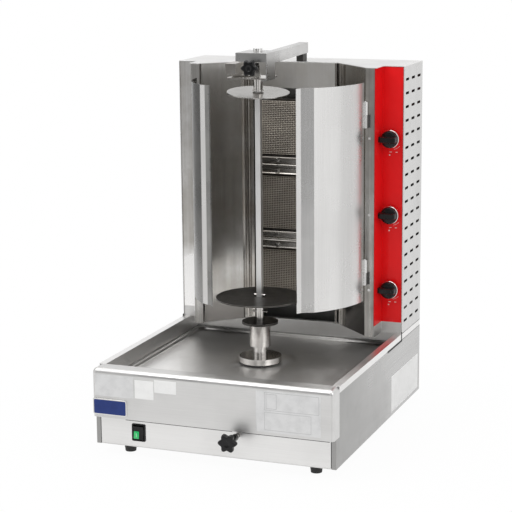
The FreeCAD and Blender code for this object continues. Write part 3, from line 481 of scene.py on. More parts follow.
badge_across, badge_up = (-0.2735, -0.1930), (0.0960, 0.1325)
rim_wide, rim_thick = 0.0026, 0.0022
badge_steel = sheet_steel("badge_steel", ALONG_X, 0.80, 0.66, 0.16, 0.30)
plate("badge_rim", badge_across, badge_up, apron_front, -rim_thick, 0.0042, badge_steel)
plate("badge_field", (badge_across[0] + rim_wide, badge_across[1] - rim_wide),
      (badge_up[0] + rim_wide, badge_up[1] - rim_wide), apron_front - rim_thick, -0.0004, 0.0026,
      blue_enamel)
plate("rating_film", (-0.269, -0.177), (0.1385, 0.1865), apron_front, -film_thick, 0.0015, silver_film)
plate("white_sticker", (-0.174, -0.130), (0.1400, 0.1810), apron_front, -film_thick, 0.001, white_film)
plate("small_sticker", (-0.128, -0.077), (0.1570, 0.1850), apron_front, -film_thick, 0.001, white_film)
plate("guide_film", (0.104, 0.247), (0.0965, 0.1865), apron_front, -film_thick, 0.002, silver_film)
side_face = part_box("base_side_right")[1].x
plate("side_film", (0.104, 0.326), (0.0330, 0.1180), side_face, film_thick, 0.002, white_film,
      "x")


def ruled_frame(name, across, up, line=0.0007):
    """An empty printed frame: four thin bars in one piece."""
    outer = (sum(across) / 2, sum(up) / 2, (across[1] - across[0]) / 2, (up[1] - up[0]) / 2)
    face = apron_front - film_thick
    rings = [level(oblong(outer[2] - inset, outer[3] - inset, 0.0012, outer[:2]), "y", face - rise)
             for inset, rise in [(0, 0), (0, 0.00005), (line, 0.00005), (line, 0)]]
    fit(name, skinned(name, rings, capped=False), grey_ink, "frame")


ruled_frame("guide_frame_upper", (0.123, 0.243), (0.1440, 0.1830))
ruled_frame("guide_frame_lower", (0.123, 0.226), (0.1010, 0.1400))
ruled_frame("guide_frame_inner", (0.1265, 0.1500), (0.1475, 0.1795))

# ---- Side seams ----------------------------------------------------------------------------------
# A black strip along the slot where the tray surround runs in under the cabinet on either side is
# painted shade in that slot. Behind it two fine dark lines along the foot of the cabinet side are
# painted shade in its joints.
seam_shade_ink = finished("seam_shade_ink", printed,
                      {"Ink": (0.09, 0.088, 0.085, 1), "Rubbed": (0.14, 0.138, 0.135, 1)}, 0.0, 0.05,
                      edge=0)
slot_run, slot_rise = ((0.072, 0.1880), (0.1808, 0.1856)), ((0.1810, 0.1875), (0.1815, 0.2040))
joint_low, joint_high = ((0.1890, 0.3390), (0.1838, 0.1854)), ((0.1890, 0.3390), (0.1982, 0.1998))
shade_strip_stands, line_stands = 0.0003, 0.0001
for side, hand in ((1, "right"), (-1, "left")):
    face = side * side_face
    for part, (across, up) in (("run", slot_run), ("rise", slot_rise)):
        plate(f"slot_shade_strip_{hand}_{part}", across, up, face, side * shade_strip_stands, 0.0010, rubber,
              "x")
    for part, (across, up) in (("low", joint_low), ("high", joint_high)):
        plate(f"joint_shade_line_{hand}_{part}", across, up, face, side * line_stands, 0.0005, seam_shade_ink,
              "x")

# ---- Switch --------------------------------------------------------------------------------------
# A snap-in rocker switch in the front panel: black moulded bezel, black rocker that tips about its
# middle, and a green lit window in the rocker's lower half with the plain bar that means on.
black_plastic = finished(
    "black_plastic", moulded,
    {"Light": (0.016, 0.016, 0.016, 1), "Dark": (0.005, 0.005, 0.0055, 1), "Grain size": 1400.0,
     "Smooth": 0.16, "Rough": 0.34}, 0.0, 0.08, fixed={"Specular IOR Level": 0.28})
bezel_low, bezel_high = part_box("switch_frame")
bezel_middle = ((bezel_low.x + bezel_high.x) / 2, (bezel_low.z + bezel_high.z) / 2)
bezel_half = ((bezel_high.x - bezel_low.x) / 2, (bezel_high.z - bezel_low.z) / 2)
panel_face = bezel_low.y + 0.0025
well_half = (0.0125, 0.0165)
bezel_steps = [(0.0028, 0.0028, 0.001, bezel_high.y), (0.0028, 0.0028, 0.001, panel_face),
               (0, 0, 0.003, panel_face), (0, 0, 0.003, bezel_low.y + 0.0009),
               (0.0003, 0.0003, 0.0028, bezel_low.y + 0.0003), (0.0009, 0.0009, 0.0024, bezel_low.y)]
bezel_rings = [level(oblong(bezel_half[0] - side, bezel_half[1] - end, corner, bezel_middle), "y", depth)
               for side, end, corner, depth in bezel_steps]
for ease, depth in [(0.0006, bezel_low.y), (0.0, bezel_low.y + 0.0008), (0.0, bezel_low.y + 0.0125)]:
    bezel_rings.append(
        level(oblong(well_half[0] + ease, well_half[1] + ease, 0.0012, bezel_middle), "y", depth))
fit("switch_bezel", skinned("switch_bezel", bezel_rings), black_plastic, "frame",
    ["switch_frame"])

rocker_low, rocker_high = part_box("switch_rocker")
rocker_mid_z = (rocker_low.z + rocker_high.z) / 2
fold_up, fold_dip = 0.0035, 0.0022
rocker_tip, mid_slope = 0.0138, -0.005


def rocker_front(height):
    """Where the rocker's dished front lies at a height above its middle."""
    reach = (fold_up + rocker_tip) if height < fold_up else (rocker_tip - fold_up)
    return rocker_low.y + fold_dip * (1 - min(1, abs(height - fold_up) / reach))


rocker_tall = (rocker_high.z - rocker_low.z) / 2
rocker_profile = [(rocker_high.y, -rocker_tall), (rocker_low.y + 0.0016, -rocker_tall),
                  (rocker_low.y + 0.0004, -rocker_tall + 0.0005),
                  (rocker_front(-rocker_tip), -rocker_tip), (rocker_front(mid_slope), mid_slope),
                  (rocker_front(fold_up), fold_up), (rocker_front(rocker_tip), rocker_tip),
                  (rocker_low.y + 0.0004, rocker_tall - 0.0005), (rocker_low.y + 0.0016, rocker_tall),
                  (rocker_high.y, rocker_tall)]
edge_round, edge_shrink = 0.0005, 0.96
rocker_rings = [
    [Vector((x, rocker_high.y + (y - rocker_high.y) * shrink, rocker_mid_z + height * shrink))
     for y, height in rocker_profile]
    for x, shrink in [(rocker_low.x, edge_shrink), (rocker_low.x + edge_round, 1.0),
                      (rocker_high.x - edge_round, 1.0), (rocker_high.x, edge_shrink)]]
fit("rocker_body", skinned("rocker_body", rocker_rings, sharp=25), black_plastic, "rocker",
    ["switch_rocker"])


def on_rocker(name, across, up, corner, rise, material):
    """A small inlay that follows the rocker's sloping lower face."""
    middle, half = (sum(across) / 2, sum(up) / 2), ((across[1] - across[0]) / 2, (up[1] - up[0]) / 2)
    rings = []
    for inset, lift in [(0, -0.0006), (0, rise * 0.5), (rise, rise)]:
        outline = oblong(half[0] - inset, half[1] - inset, corner, middle)
        rings.append(
            [Vector((x, rocker_front(height) - lift, rocker_mid_z + height)) for x, height in outline])
    return fit(name, skinned(name, rings), material, "rocker")


lit_green = finished(
    "lit_green_window", moulded,
    {"Light": (0.02, 0.46, 0.13, 1), "Dark": (0.01, 0.30, 0.08, 1), "Grain size": 300.0, "Smooth": 0.10,
     "Rough": 0.2}, 0.0, 0.03,
    fixed={"Emission Color": (0.02, 0.6, 0.16, 1), "Emission Strength": 0.35, "Coat Weight": 0.5})
on_rocker("switch_window", (rocker_low.x + 0.0015, rocker_low.x + 0.0135), (-0.0132, 0.0028), 0.0012, 0.0004,
          lit_green)
on_rocker("switch_on_mark", (rocker_low.x + 0.0069, rocker_low.x + 0.0081), (-0.0095, -0.0015), 0.0004,
          0.0006, white_film)

# ---- Star knobs ----------------------------------------------------------------------------------
# Two black moulded clamping knobs with six round lobes and a boss behind: one on the rod that slides
# the motor, and one on the screw that clamps the top bearing.
knob_points = 96


def lobed(radius, wave, x, z):
    """A six-lobed outline; with no wave it is a circle."""
    points = []
    for step in range(knob_points):
        angle = 2 * math.pi * step / knob_points
        reach = radius * (1 - wave * (1 - math.cos(6 * angle)) / 2)
        points.append((x + reach * math.cos(angle), z + reach * math.sin(angle)))
    return points


def star_knob(name, node, body, length, boss, stud=None):
    """Lobed head with a dished face, its boss and, where it has one, the screw moulded in."""
    near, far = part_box(node)
    x, z, radius = (near.x + far.x) / 2, (near.z + far.z) / 2, (far.x - near.x) / 2
    face = near.y
    steps = [(0.28, 0, 0.0012), (0.34, 0, 0.0004), (0.42, 0, 0.0002), (0.80, 0.24, 0.0),
             (0.90, 0.25, 0.0006), (0.97, 0.26, 0.0022), (1.0, 0.26, 0.0045), (1.0, 0.26, length - 0.004),
             (0.96, 0.26, length - 0.0015), (0.86, 0.24, length - 0.0003), (0.56, 0, length),
             (0.50, 0, length + 0.0012), (0.46, 0, boss)]
    rings = [level(lobed(radius * share, wave, x, z), "y", face + back) for share, wave, back in steps]
    if stud:
        rings += [level(lobed(stud, 0, x, z), "y", back) for back in (face + boss, far.y)]
    return fit(name, skinned(name, rings), black_plastic, body, [node])


star_knob("slide_star_knob", "front_star_knob", "front_knob", 0.014, 0.021)
# The black sleeve covers the rod behind the knob, and its black also stands in as painted shade for the
# shadow there.
sleeve_near, sleeve_far = 0.0195, 0.0510
sleeve_steps = [(0.0070, sleeve_near), (0.0076, sleeve_near + 0.001), (0.0076, sleeve_far - 0.001),
                (0.0070, sleeve_far)]
sleeve_low, sleeve_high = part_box("front_star_knob")
sleeve_spot = ((sleeve_low.x + sleeve_high.x) / 2, (sleeve_low.z + sleeve_high.z) / 2)
sleeve_rings = [level(lobed(radius, 0, *sleeve_spot), "y", sleeve_low.y + back)
                for radius, back in sleeve_steps]
fit("slide_knob_shade_sleeve", skinned("slide_knob_shade_sleeve", sleeve_rings), black_plastic, "front_knob")
star_knob("clamp_star_knob", "top_star_knob", "top_knob", 0.013, 0.020, 0.004)

# ---- Control knobs -------------------------------------------------------------------------------
# Three black moulded gas knobs on the red panel, each a round skirt with a raised grip bar that ends in a
# nub to point with, over a bright pressed ring. The printed marks beside them are plain dashes and an arc.
bright_trim = sheet_steel("bright_trim", ALONG_Z, 0.78, 0.66, 0.10, 0.22, 0.6)
red_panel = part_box("fascia_right")[1].y - sheet_metal
mark_white = finished("pointer_white", printed, {"Ink": (0.8, 0.8, 0.78, 1), "Rubbed": (0.6, 0.6, 0.58, 1)},
                      0.0, 0.05, edge=0)
ink_depth = (-0.0001, 0.0001)
dial_dashes = [(-0.0020, -0.0310, 0.0026, 0.0007), (0.0115, -0.0310, 0.0024, 0.0007),
               (-0.0045, -0.0380, 0.0016, 0.0014)]
ring_profile = [(0.0118, 0.0003), (0.0125, 0.0075), (0.0200, 0.0085), (0.0209, 0.0095), (0.0209, 0.0150),
                (0.0200, 0.0160)]
skirt_profile = [(0.0190, 0.0155), (0.0200, 0.0165), (0.0199, 0.0185), (0.0192, 0.0225), (0.0178, 0.0238),
                 (0.0150, 0.0245)]
grip_profile = [(0.0188, 0.0088, 0.0050, 0.0235), (0.0187, 0.0082, 0.0048, 0.0260),
                (0.0184, 0.0068, 0.0044, 0.0325), (0.0180, 0.0062, 0.0040, 0.0350)]
grip_top = (0.0172, 0.0054, 0.0034)
nub_profile = [(0.0042, 0.0058, 0.0020, 0.0170), (0.0046, 0.0062, 0.0022, 0.0180),
               (0.0046, 0.0060, 0.0022, 0.0300), (0.0038, 0.0052, 0.0018, 0.0312)]
nub_out = 0.0196
arc_outer, arc_inner = (0.0256, range(-76, -40, 3)), (0.0250, range(-43, -79, -3))


def disc(radius, x, z):
    """A circle with as many points as an oblong."""
    return oblong(radius, radius, radius, (x, z))


def control_knob(place):
    """One gas knob on its dial, and the marks printed beside it on the panel."""
    node, body = f"control_knob_{place}", f"dial_{place}"
    near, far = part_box(node)
    x, z = (near.x + far.x) / 2, (near.z + far.z) / 2
    for part, profile, finish, replaced in (("ring", ring_profile, bright_trim, []),
                                            ("skirt", skirt_profile, black_plastic, [node])):
        name = f"knob_{part}_{place}"
        levels = [level(disc(radius, x, z), "y", red_panel - out) for radius, out in profile]
        fit(name, skinned(name, levels, sharp=30), finish, body, replaced)
    whole_grip = [*grip_profile, (*grip_top, red_panel - near.y)]
    for part, profile, across, sharp in (("grip", whole_grip, x, 30),
                                         ("pointer", nub_profile, x - nub_out, 38)):
        name = f"knob_{part}_{place}"
        levels = [level(oblong(*sizes, (across, z)), "y", red_panel - out) for *sizes, out in profile]
        fit(name, skinned(name, levels, sharp=sharp), black_plastic, body)
    for mark, (right, up, half_long, half_tall) in enumerate(dial_dashes):
        name = f"dial_mark_{place}_{mark}"
        outline = oblong(half_long, half_tall, half_tall * 0.6, (x + right, z + up))
        levels = [level(outline, "y", red_panel - out) for out in ink_depth]
        fit(name, skinned(name, levels), mark_white, "frame")
    name = f"dial_arc_{place}"
    edge = [(x + reach * math.cos(math.radians(angle)), z + reach * math.sin(math.radians(angle)))
            for reach, angles in (arc_outer, arc_inner) for angle in angles]
    levels = [level(edge, "y", red_panel - out) for out in ink_depth]
    fit(name, skinned(name, levels), mark_white, "frame")


for place in ("bottom", "middle", "top"):
    control_knob(place)

# ---- Red control panel ---------------------------------------------------------------------------
# The right fascia is folded steel under red stove enamel: even, glossy, with a slight orange peel and a
# little wear on its folds.
red_enamel = finished(
    "red_enamel", moulded,
    {"Light": (0.84, 0.010, 0.012, 1), "Dark": (0.78, 0.006, 0.008, 1), "Grain size": 160.0,
     "Smooth": 0.30, "Rough": 0.38}, 0.0, 0.05,
    fixed={"Specular IOR Level": 0.2, "Coat Weight": 0.12, "Coat Roughness": 0.10})
dress(red_enamel, "fascia_right")

# ---- Inner walls, posts and deflector ------------------------------------------------------------
# Bright stainless linings beside the burners, with folded strips welded on. Heat and smoke have left
# brown and grey streaks that run up the sheet, grease darkens its foot, and a clean band lies between.
smoked, taken, given = effect(
    "smoke_and_shade_streaks",
    [("Clean", "Color", (0.6, 0.6, 0.6, 1)), ("Smoke and shade", "Color", (0.1, 0.09, 0.08, 1)),
     ("Straw", "Color", (0.4, 0.3, 0.2, 1)), ("Streak", "Vector", (90.0, 90.0, 1.6)),
     ("Start", "Float", 0.24), ("End", "Float", 0.40), ("Amount", "Float", 0.8), ("Smooth", "Float", 0.1),
     ("Rough", "Float", 0.35), ("Foot", "Float", -1.0), ("Greased", "Color", (0.2, 0.2, 0.2, 1))])
spot = surface_point(smoked)
drawn = add_node(smoked, "ShaderNodeVectorMath", {0: spot, 1: taken["Streak"]},
                 operation="MULTIPLY").outputs[0]
streaks = speckle(smoked, drawn, 1.0, 3.0, 0.6)
patches = speckle(smoked, spot, 9.0, 4.0, 0.6)
height = add_node(smoked, "ShaderNodeSeparateXYZ", {0: spot}).outputs["Z"]
wavy_height = reckon(smoked, "MULTIPLY_ADD", patches, 0.12, height)
risen = spread(smoked, wavy_height, taken["Start"], taken["End"])
# Soot rising up the sheet; on the arm's head the same darkening is painted shade.
soot = reckon(
    smoked, "MULTIPLY", reckon(smoked, "MULTIPLY", risen, taken["Amount"]),
    spread(smoked, reckon(smoked, "MULTIPLY_ADD", streaks, 0.7, reckon(smoked, "MULTIPLY", patches, 0.3)),
           0.36, 0.58))
warm = reckon(smoked, "MULTIPLY", spread(smoked, patches, 0.45, 0.62), reckon(smoked, "MULTIPLY", risen, 0.5))
sooty = tint(smoked, soot, tint(smoked, warm, taken["Clean"], taken["Straw"]), taken["Smoke and shade"])
grease_rise = 0.03
grease_end = reckon(smoked, "ADD", taken["Foot"], grease_rise)
at_foot = spread(smoked, wavy_height, grease_end, taken["Foot"])
smoked.links.new(tint(smoked, at_foot, sooty, taken["Greased"]), given["Color"])
smoked.links.new(
    spread(smoked, reckon(smoked, "MULTIPLY_ADD", soot, 0.7, reckon(smoked, "MULTIPLY", streaks, 0.3)),
           0.0, 1.0, taken["Smooth"], taken["Rough"]), given["Roughness"])
smoked.links.new(streaks, given["Height"])

lining = finished("smoked_lining", smoked, {"Clean": (0.62, 0.61, 0.59, 1), "Smoke and shade": (0.30, 0.285, 0.265, 1),
                                            "Straw": (0.52, 0.48, 0.42, 1), "Streak": (50.0, 50.0, 1.1),
                                            "Amount": 0.5, "Smooth": 0.16, "Rough": 0.32, "Foot": 0.300,
                                            "Greased": (0.23, 0.22, 0.21, 1)}, 1.0, 0.04)
post_steel = finished("post_steel", smoked, {"Clean": (0.60, 0.59, 0.57, 1), "Smoke and shade": (0.28, 0.265, 0.25, 1),
                                             "Straw": (0.38, 0.34, 0.29, 1), "Start": 0.1, "End": 0.3,
                                             "Smooth": 0.22, "Rough": 0.4}, 1.0, 0.05)
channel_steel = finished(
    "channel_steel", smoked,
    {"Clean": (0.62, 0.60, 0.57, 1), "Smoke and shade": (0.22, 0.20, 0.18, 1), "Straw": (0.46, 0.39, 0.30, 1),
     "Smooth": 0.14, "Rough": 0.32}, 1.0, 0.05)
dress(lining, "inner_walls")
upper_steel = finished(
    "upper_steel", smoked,
    {"Clean": (0.86, 0.845, 0.82, 1), "Smoke and shade": (0.60, 0.58, 0.55, 1), "Straw": (0.74, 0.70, 0.63, 1),
     "Streak": (30.0, 30.0, 1.1), "Amount": 0.5, "Smooth": 0.26, "Rough": 0.42}, 1.0, 0.04)
dress(upper_steel, "upper_deflector")
walls_low, walls_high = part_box("inner_walls")
wall_foot, wall_end = Vector((0.1995, 0.1405)), Vector((0.1030, 0.2330))
along_wall = (wall_end - wall_foot).normalized()
off_wall = Vector((-along_wall.y, along_wall.x))
strip_offset, strip_short = 0.1020, 0.002
strip_start = wall_foot + along_wall * strip_offset
strip_fold = [(0.0, 0.0003), (0.0, 0.0040), (0.0012, 0.0050), (0.0050, 0.0050), (0.0062, 0.0040),
              (0.0066, 0.0012), (0.0125, 0.0012), (0.0130, 0.0032), (0.0145, 0.0045), (0.0175, 0.0045),
              (0.0190, 0.0032), (0.0195, 0.0010), (0.0280, 0.0010), (0.0280, 0.0003)]
for side, hand in ((1, "right"), (-1, "left")):
    outline = [strip_start + along_wall * run + off_wall * rise for run, rise in strip_fold]
    rings = [[Vector((side * point.x, point.y, height)) for point in outline]
             for height in (walls_low.z + strip_short, walls_high.z - strip_short)]
    fit(f"wall_strip_{hand}", skinned(f"wall_strip_{hand}", rings, sharp=50), channel_steel, "frame")
left_steel = finished(
    "left_fascia_steel", smoked,
    {"Clean": (0.92, 0.91, 0.90, 1), "Smoke and shade": (0.42, 0.40, 0.37, 1), "Straw": (0.52, 0.495, 0.46, 1),
     "Streak": (40.0, 40.0, 0.9), "Start": 0.42, "End": 0.46, "Amount": 0.95, "Smooth": 0.24,
     "Rough": 0.42}, 1.0, 0.05)
dress(left_steel, "fascia_left")
dress(post_steel, "hinge_posts")
dress(channel_steel, "wall_channels")

# ---- Burners -------------------------------------------------------------------------------------
# Three gas burners stacked in the back: a folded steel tray, a drilled ceramic plaque that glows when
# lit, and a woven heat-proof wire screen over it. Steel bars bolted across hold them in the channels.
wire_pitch, wire_radius, wire_sides = 0.0043, 0.00088, 5
wire_sway = wire_radius * 0.9
screen_margin = 0.004
screens_low, screens_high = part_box("burner_meshes")
burner_pitch, burner_tall = 0.178, 0.136
screen_y = (screens_low.y + screens_high.y) / 2


def wire_run(start, count, step, sway, turned):
    """One wire of the screen as small rings of points, passing over and under the wires it crosses."""
    rings = []
    for index in range(count):
        along = start[0] + index * step
        out = sway * (1 if index % 2 else -1)
        middle = (start[0], start[1] + out, start[2] + index * step)
        if turned:
            middle = (along, start[1] + out, start[2])
        ring = []
        for corner in range(wire_sides):
            angle = 2 * math.pi * corner / wire_sides
            across, lift = wire_radius * math.cos(angle), wire_radius * math.sin(angle)
            shift = (0, lift, across) if turned else (across, lift, 0)
            ring.append(tuple(place + move for place, move in zip(middle, shift)))
        rings.append(ring)
    return rings


def woven_screen(name, bottom):
    """A plain weave of round wire, filling one burner's front."""
    width = screens_high.x - screens_low.x - screen_margin
    columns, rows = int(width / wire_pitch), int((burner_tall - screen_margin) / wire_pitch)
    left = -(columns - 1) * wire_pitch / 2
    base = bottom + (burner_tall - (rows - 1) * wire_pitch) / 2
    points, faces = [], []
    runs = [((left + column * wire_pitch, screen_y, base), rows, wire_sway * (1 if column % 2 else -1),
             False) for column in range(columns)]
    runs += [((left, screen_y, base + row * wire_pitch), columns, wire_sway * (-1 if row % 2 else 1),
              True) for row in range(rows)]
    for start, count, sway, turned in runs:
        first = len(points)
        for ring in wire_run(start, count, wire_pitch, sway, turned):
            points.extend(ring)
        for index in range(count - 1):
            row_start = first + index * wire_sides
            for corner in range(wire_sides):
                low_one, low_two = row_start + corner, row_start + (corner + 1) % wire_sides
                faces.append((low_one, low_two, low_two + wire_sides, low_one + wire_sides))
        last = first + (count - 1) * wire_sides
        faces.append(tuple(first + corner for corner in range(wire_sides)))
        faces.append(tuple(last + corner for corner in reversed(range(wire_sides))))
    mesh = bpy.data.meshes.new(name)
    mesh.from_pydata(points, [], faces)
    face_outward(mesh)
    mesh.shade_smooth()
    return mesh


scaled_wire = finished(
    "scaled_wire", moulded,
    {"Light": (0.66, 0.60, 0.52, 1), "Dark": (0.42, 0.38, 0.33, 1), "Grain size": 260.0, "Smooth": 0.34,
     "Rough": 0.55}, 0.6, 0.1, edge=0)
for index, place in enumerate(("bottom", "middle", "top")):
    screen = woven_screen(f"burner_screen_{place}", screens_low.z + index * burner_pitch)
    fit(f"burner_screen_{place}", screen, scaled_wire, "frame", ["burner_meshes"])

plaque, taken, given = effect(
    "drilled_ceramic",
    [("Body", "Color", (0.3, 0.25, 0.2, 1)), ("Hole", "Color", (0.03, 0.02, 0.02, 1)),
     ("Pitch", "Float", 0.0026)])
spot = surface_point(plaque)
parts = add_node(plaque, "ShaderNodeSeparateXYZ", {0: spot}).outputs
turns = []
for axis in ("X", "Z"):
    cell = reckon(plaque, "DIVIDE", parts[axis], taken["Pitch"])
    turns.append(reckon(plaque, "COSINE", reckon(plaque, "MULTIPLY", cell, 2 * math.pi)))
holes = spread(plaque, reckon(plaque, "ADD", *turns), 0.55, 1.15)
fired = spread(plaque, speckle(plaque, spot, 24.0, 5.0, 0.6), 0.3, 0.7, 0.55, 1.1)
baked = add_node(plaque, "ShaderNodeVectorMath", {0: taken["Body"], "Scale": fired},
                 operation="SCALE").outputs[0]
plaque.links.new(tint(plaque, holes, baked, taken["Hole"]), given["Color"])
plaque.links.new(spread(plaque, fired, 0.0, 1.0, 0.95, 0.8), given["Roughness"])
plaque.links.new(reckon(plaque, "SUBTRACT", 1.0, holes), given["Height"])
ceramic = finished("drilled_ceramic", plaque,
                   {"Body": (0.065, 0.052, 0.042, 1), "Hole": (0.008, 0.007, 0.006, 1)}, 0.0, 0.6, 0.001,
                   0)
dress(ceramic, "burner_plaques")
burner_steel = finished(
    "burner_steel", smoked,
    {"Clean": (0.16, 0.15, 0.14, 1), "Smoke and shade": (0.05, 0.045, 0.04, 1), "Straw": (0.15, 0.12, 0.09, 1),
     "Start": 0.1, "End": 0.2, "Smooth": 0.3, "Rough": 0.55}, 0.8, 0.1)
bar_steel = finished(
    "bar_steel", smoked,
    {"Clean": (0.55, 0.53, 0.50, 1), "Smoke and shade": (0.20, 0.185, 0.17, 1), "Straw": (0.40, 0.34, 0.27, 1),
     "Streak": (6.0, 160.0, 160.0), "Start": 0.2, "End": 0.5, "Smooth": 0.16, "Rough": 0.36}, 1.0, 0.08)
dress(burner_steel, "burner_housings")
bars_low, bars_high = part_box("burner_bars")
bar_half, bar_sheet, bead_proud = 0.021, 0.0012, 0.0006
bead = [(0.0150, bar_half), (0.0030, bar_half), (0.0008, 0.0203), (0.0, 0.0190), (0.0006, 0.0176),
        (0.0022, 0.0168), (0.0022, 0.0075), (0.0060, 0.0066), (0.0060, 0.0040), (0.0012, 0.0030),
        (0.0002, 0.0018), (0.0, 0.0), (0.0006, -0.0022), (0.0060, -0.0032), (0.0060, -0.0062),
        (0.0022, -0.0072), (0.0022, -0.0168), (0.0006, -0.0176), (0.0, -0.0190), (0.0008, -0.0203),
        (0.0030, -bar_half), (0.0150, -bar_half)]
for index, place in enumerate(("lower", "upper")):
    middle = bars_low.z + bar_half + index * burner_pitch
    rings = []
    for x in (bars_low.x, bars_high.x):
        front = [Vector((x, bars_low.y - bead_proud + back, middle + rise)) for back, rise in bead]
        rings.append(front + [point + Vector((0, bar_sheet, 0)) for point in reversed(front)])
    fit(f"burner_bar_{place}", skinned(f"burner_bar_{place}", rings, sharp=50), bar_steel, "frame",
        ["burner_bars"])

# ---- Gas pipes and fittings ----------------------------------------------------------------------
# A drawn steel manifold with thin feeds to each burner, brass cocks behind the knobs and a threaded brass
# inlet at the back, beside the cable's plastic gland.
pipe_steel = sheet_steel("pipe_steel", ALONG_Z, 0.55, 0.42, 0.25, 0.45)
brass = finished(
    "turned_brass", rolled,
    {"Stretch": (60, 900, 60), "Bright": (0.66, 0.47, 0.20, 1), "Dull": (0.45, 0.30, 0.12, 1),
     "Smooth": 0.18, "Rough": 0.4}, 1.0, 0.15)
dress(pipe_steel, "gas_manifold")
dress(brass, "gas_inlet", "gas_valves")
dress(black_plastic, "cable_gland")

# ---- Doors ---------------------------------------------------------------------------------------
# Two curved heat doors of stainless sheet, rolled to the spit's circle and folded in at the front edge.
# They hang on polished lift-off hinges. The right door's steel is a lighter copy, painted light. The
# left door is painted darker on its curved body and its front lip, painted shade, with its flat fold
# left light; the hinges are painted darker beside the barrel, painted shade.
# The right door's steel is a lighter copy, painted light.
door_steel = sheet_steel("door_steel", ALONG_Z, 0.80, 0.64, 0.22, 0.40)
dress(door_steel, "door_right")
banded, taken, given = effect(
    "banded_shade",
    [("Clean", "Color", (0.6, 0.6, 0.6, 1)), ("Shaded", "Color", (0.15, 0.15, 0.15, 1)),
     ("Inner", "Float", 0.1205), ("Outer", "Float", 0.1340), ("Smooth", "Float", 0.2),
     ("Rough", "Float", 0.36)])
spot = surface_point(banded)
drawn = add_node(banded, "ShaderNodeVectorMath", {0: spot, 1: ALONG_Z}, operation="MULTIPLY").outputs[0]
lines = speckle(banded, drawn, 1.0, 3.0, 0.7)
clouds = speckle(banded, spot, 7.0, 4.0, 0.6)
across = reckon(banded, "ABSOLUTE", add_node(banded, "ShaderNodeSeparateXYZ", {0: spot}).outputs["X"])
inner_blur, outer_blur = 0.0015, 0.0020
inner_edge = reckon(banded, "ADD", taken["Inner"], -inner_blur)
outer_edge = reckon(banded, "ADD", taken["Outer"], outer_blur)
# Painted shade: the shaded colour inside Inner and outside Outer across X, with blurred edges.
near_lip = spread(banded, across, taken["Inner"], inner_edge)
on_curve = spread(banded, across, taken["Outer"], outer_edge)
band = reckon(banded, "MAXIMUM", near_lip, on_curve)
clean_tone = add_node(banded, "ShaderNodeVectorMath",
                      {0: taken["Clean"], "Scale": spread(banded, lines, 0.2, 0.8, 0.9, 1.05)},
                      operation="SCALE").outputs[0]
shaded_tone = add_node(banded, "ShaderNodeVectorMath",
                       {0: taken["Shaded"], "Scale": spread(banded, clouds, 0.35, 0.65, 0.8, 1.4)},
                       operation="SCALE").outputs[0]
banded.links.new(tint(banded, band, clean_tone, shaded_tone), given["Color"])
banded.links.new(spread(banded, clouds, 0.3, 0.7, taken["Smooth"], taken["Rough"]), given["Roughness"])
banded.links.new(lines, given["Height"])
# The left door is painted darker on its curved body and its front lip, painted shade; its flat fold keeps the
# clean colour.
left_door_steel = finished("left_door_steel", banded,
                           {"Clean": (0.62, 0.61, 0.60, 1), "Shaded": (0.21, 0.207, 0.20, 1)}, 1.0, 0.08)
dress(left_door_steel, "door_left")
# The hinge is painted darker beside the barrel on both sides, painted shade.
hinge_steel = finished(
    "hinge_steel", banded,
    {"Clean": (0.74, 0.73, 0.72, 1), "Shaded": (0.22, 0.215, 0.21, 1), "Inner": 0.2005, "Outer": 0.2065,
     "Smooth": 0.12, "Rough": 0.24}, 1.0, 0.05)
dress(hinge_steel, "hinge_leaves")
dress(bright_trim, "panel_screws", "burner_bolts", "latch_pin")

# ---- Spit ----------------------------------------------------------------------------------------
# The turned drive parts and the square spit are polished stainless; the meat plate and the small ash plate
# are blued dark by the heat, with fine rings from the lathe and bright worn rims.
turned, taken, given = effect(
    "turned_rings",
    [("Centre", "Vector", (0.0, shaft_y, 0.0)), ("Rings", "Float", 900.0),
     ("Bright", "Color", (0.7, 0.7, 0.7, 1)), ("Dull", "Color", (0.4, 0.4, 0.4, 1)),
     ("Worn", "Color", (0.7, 0.7, 0.7, 1)), ("Edge", "Float", 0.0008), ("Smooth", "Float", 0.1),
     ("Rough", "Float", 0.3)])
spot = surface_point(turned)
offset = add_node(turned, "ShaderNodeVectorMath", {0: spot, 1: taken["Centre"]},
                  operation="SUBTRACT").outputs[0]
flat = add_node(turned, "ShaderNodeVectorMath", {0: offset, 1: (1, 1, 0)}, operation="MULTIPLY").outputs[0]
radius = add_node(turned, "ShaderNodeVectorMath", {0: flat}, operation="LENGTH").outputs["Value"]
rise = add_node(turned, "ShaderNodeSeparateXYZ", {0: spot}).outputs["Z"]
cut_path = add_node(
    turned, "ShaderNodeCombineXYZ",
    {0: reckon(turned, "MULTIPLY", radius, taken["Rings"]),
     1: reckon(turned, "MULTIPLY", rise, taken["Rings"])}).outputs[0]
cuts = speckle(turned, cut_path, 1.0, 2.0, 0.6)
stains = speckle(turned, spot, 26.0, 5.0, 0.65)
soft = add_node(turned, "ShaderNodeBevel", {"Radius": taken["Edge"]}, samples=4).outputs[0]
flat_normal = add_node(turned, "ShaderNodeNewGeometry").outputs["Normal"]
aligned = add_node(turned, "ShaderNodeVectorMath", {0: soft, 1: flat_normal},
                   operation="DOT_PRODUCT").outputs["Value"]
rubbed = spread(turned, reckon(turned, "SUBTRACT", 1.0, aligned), 0.01, 0.15)
body = tint(
    turned,
    spread(turned, reckon(turned, "MULTIPLY_ADD", cuts, 0.45, reckon(turned, "MULTIPLY", stains, 0.55)),
           0.35, 0.65), taken["Dull"], taken["Bright"])
turned.links.new(tint(turned, rubbed, body, taken["Worn"]), given["Color"])
turned.links.new(
    spread(turned, reckon(turned, "MULTIPLY_ADD", stains, 0.8, reckon(turned, "MULTIPLY", cuts, 0.2)),
           0.3, 0.7, taken["Smooth"], taken["Rough"]), given["Roughness"])
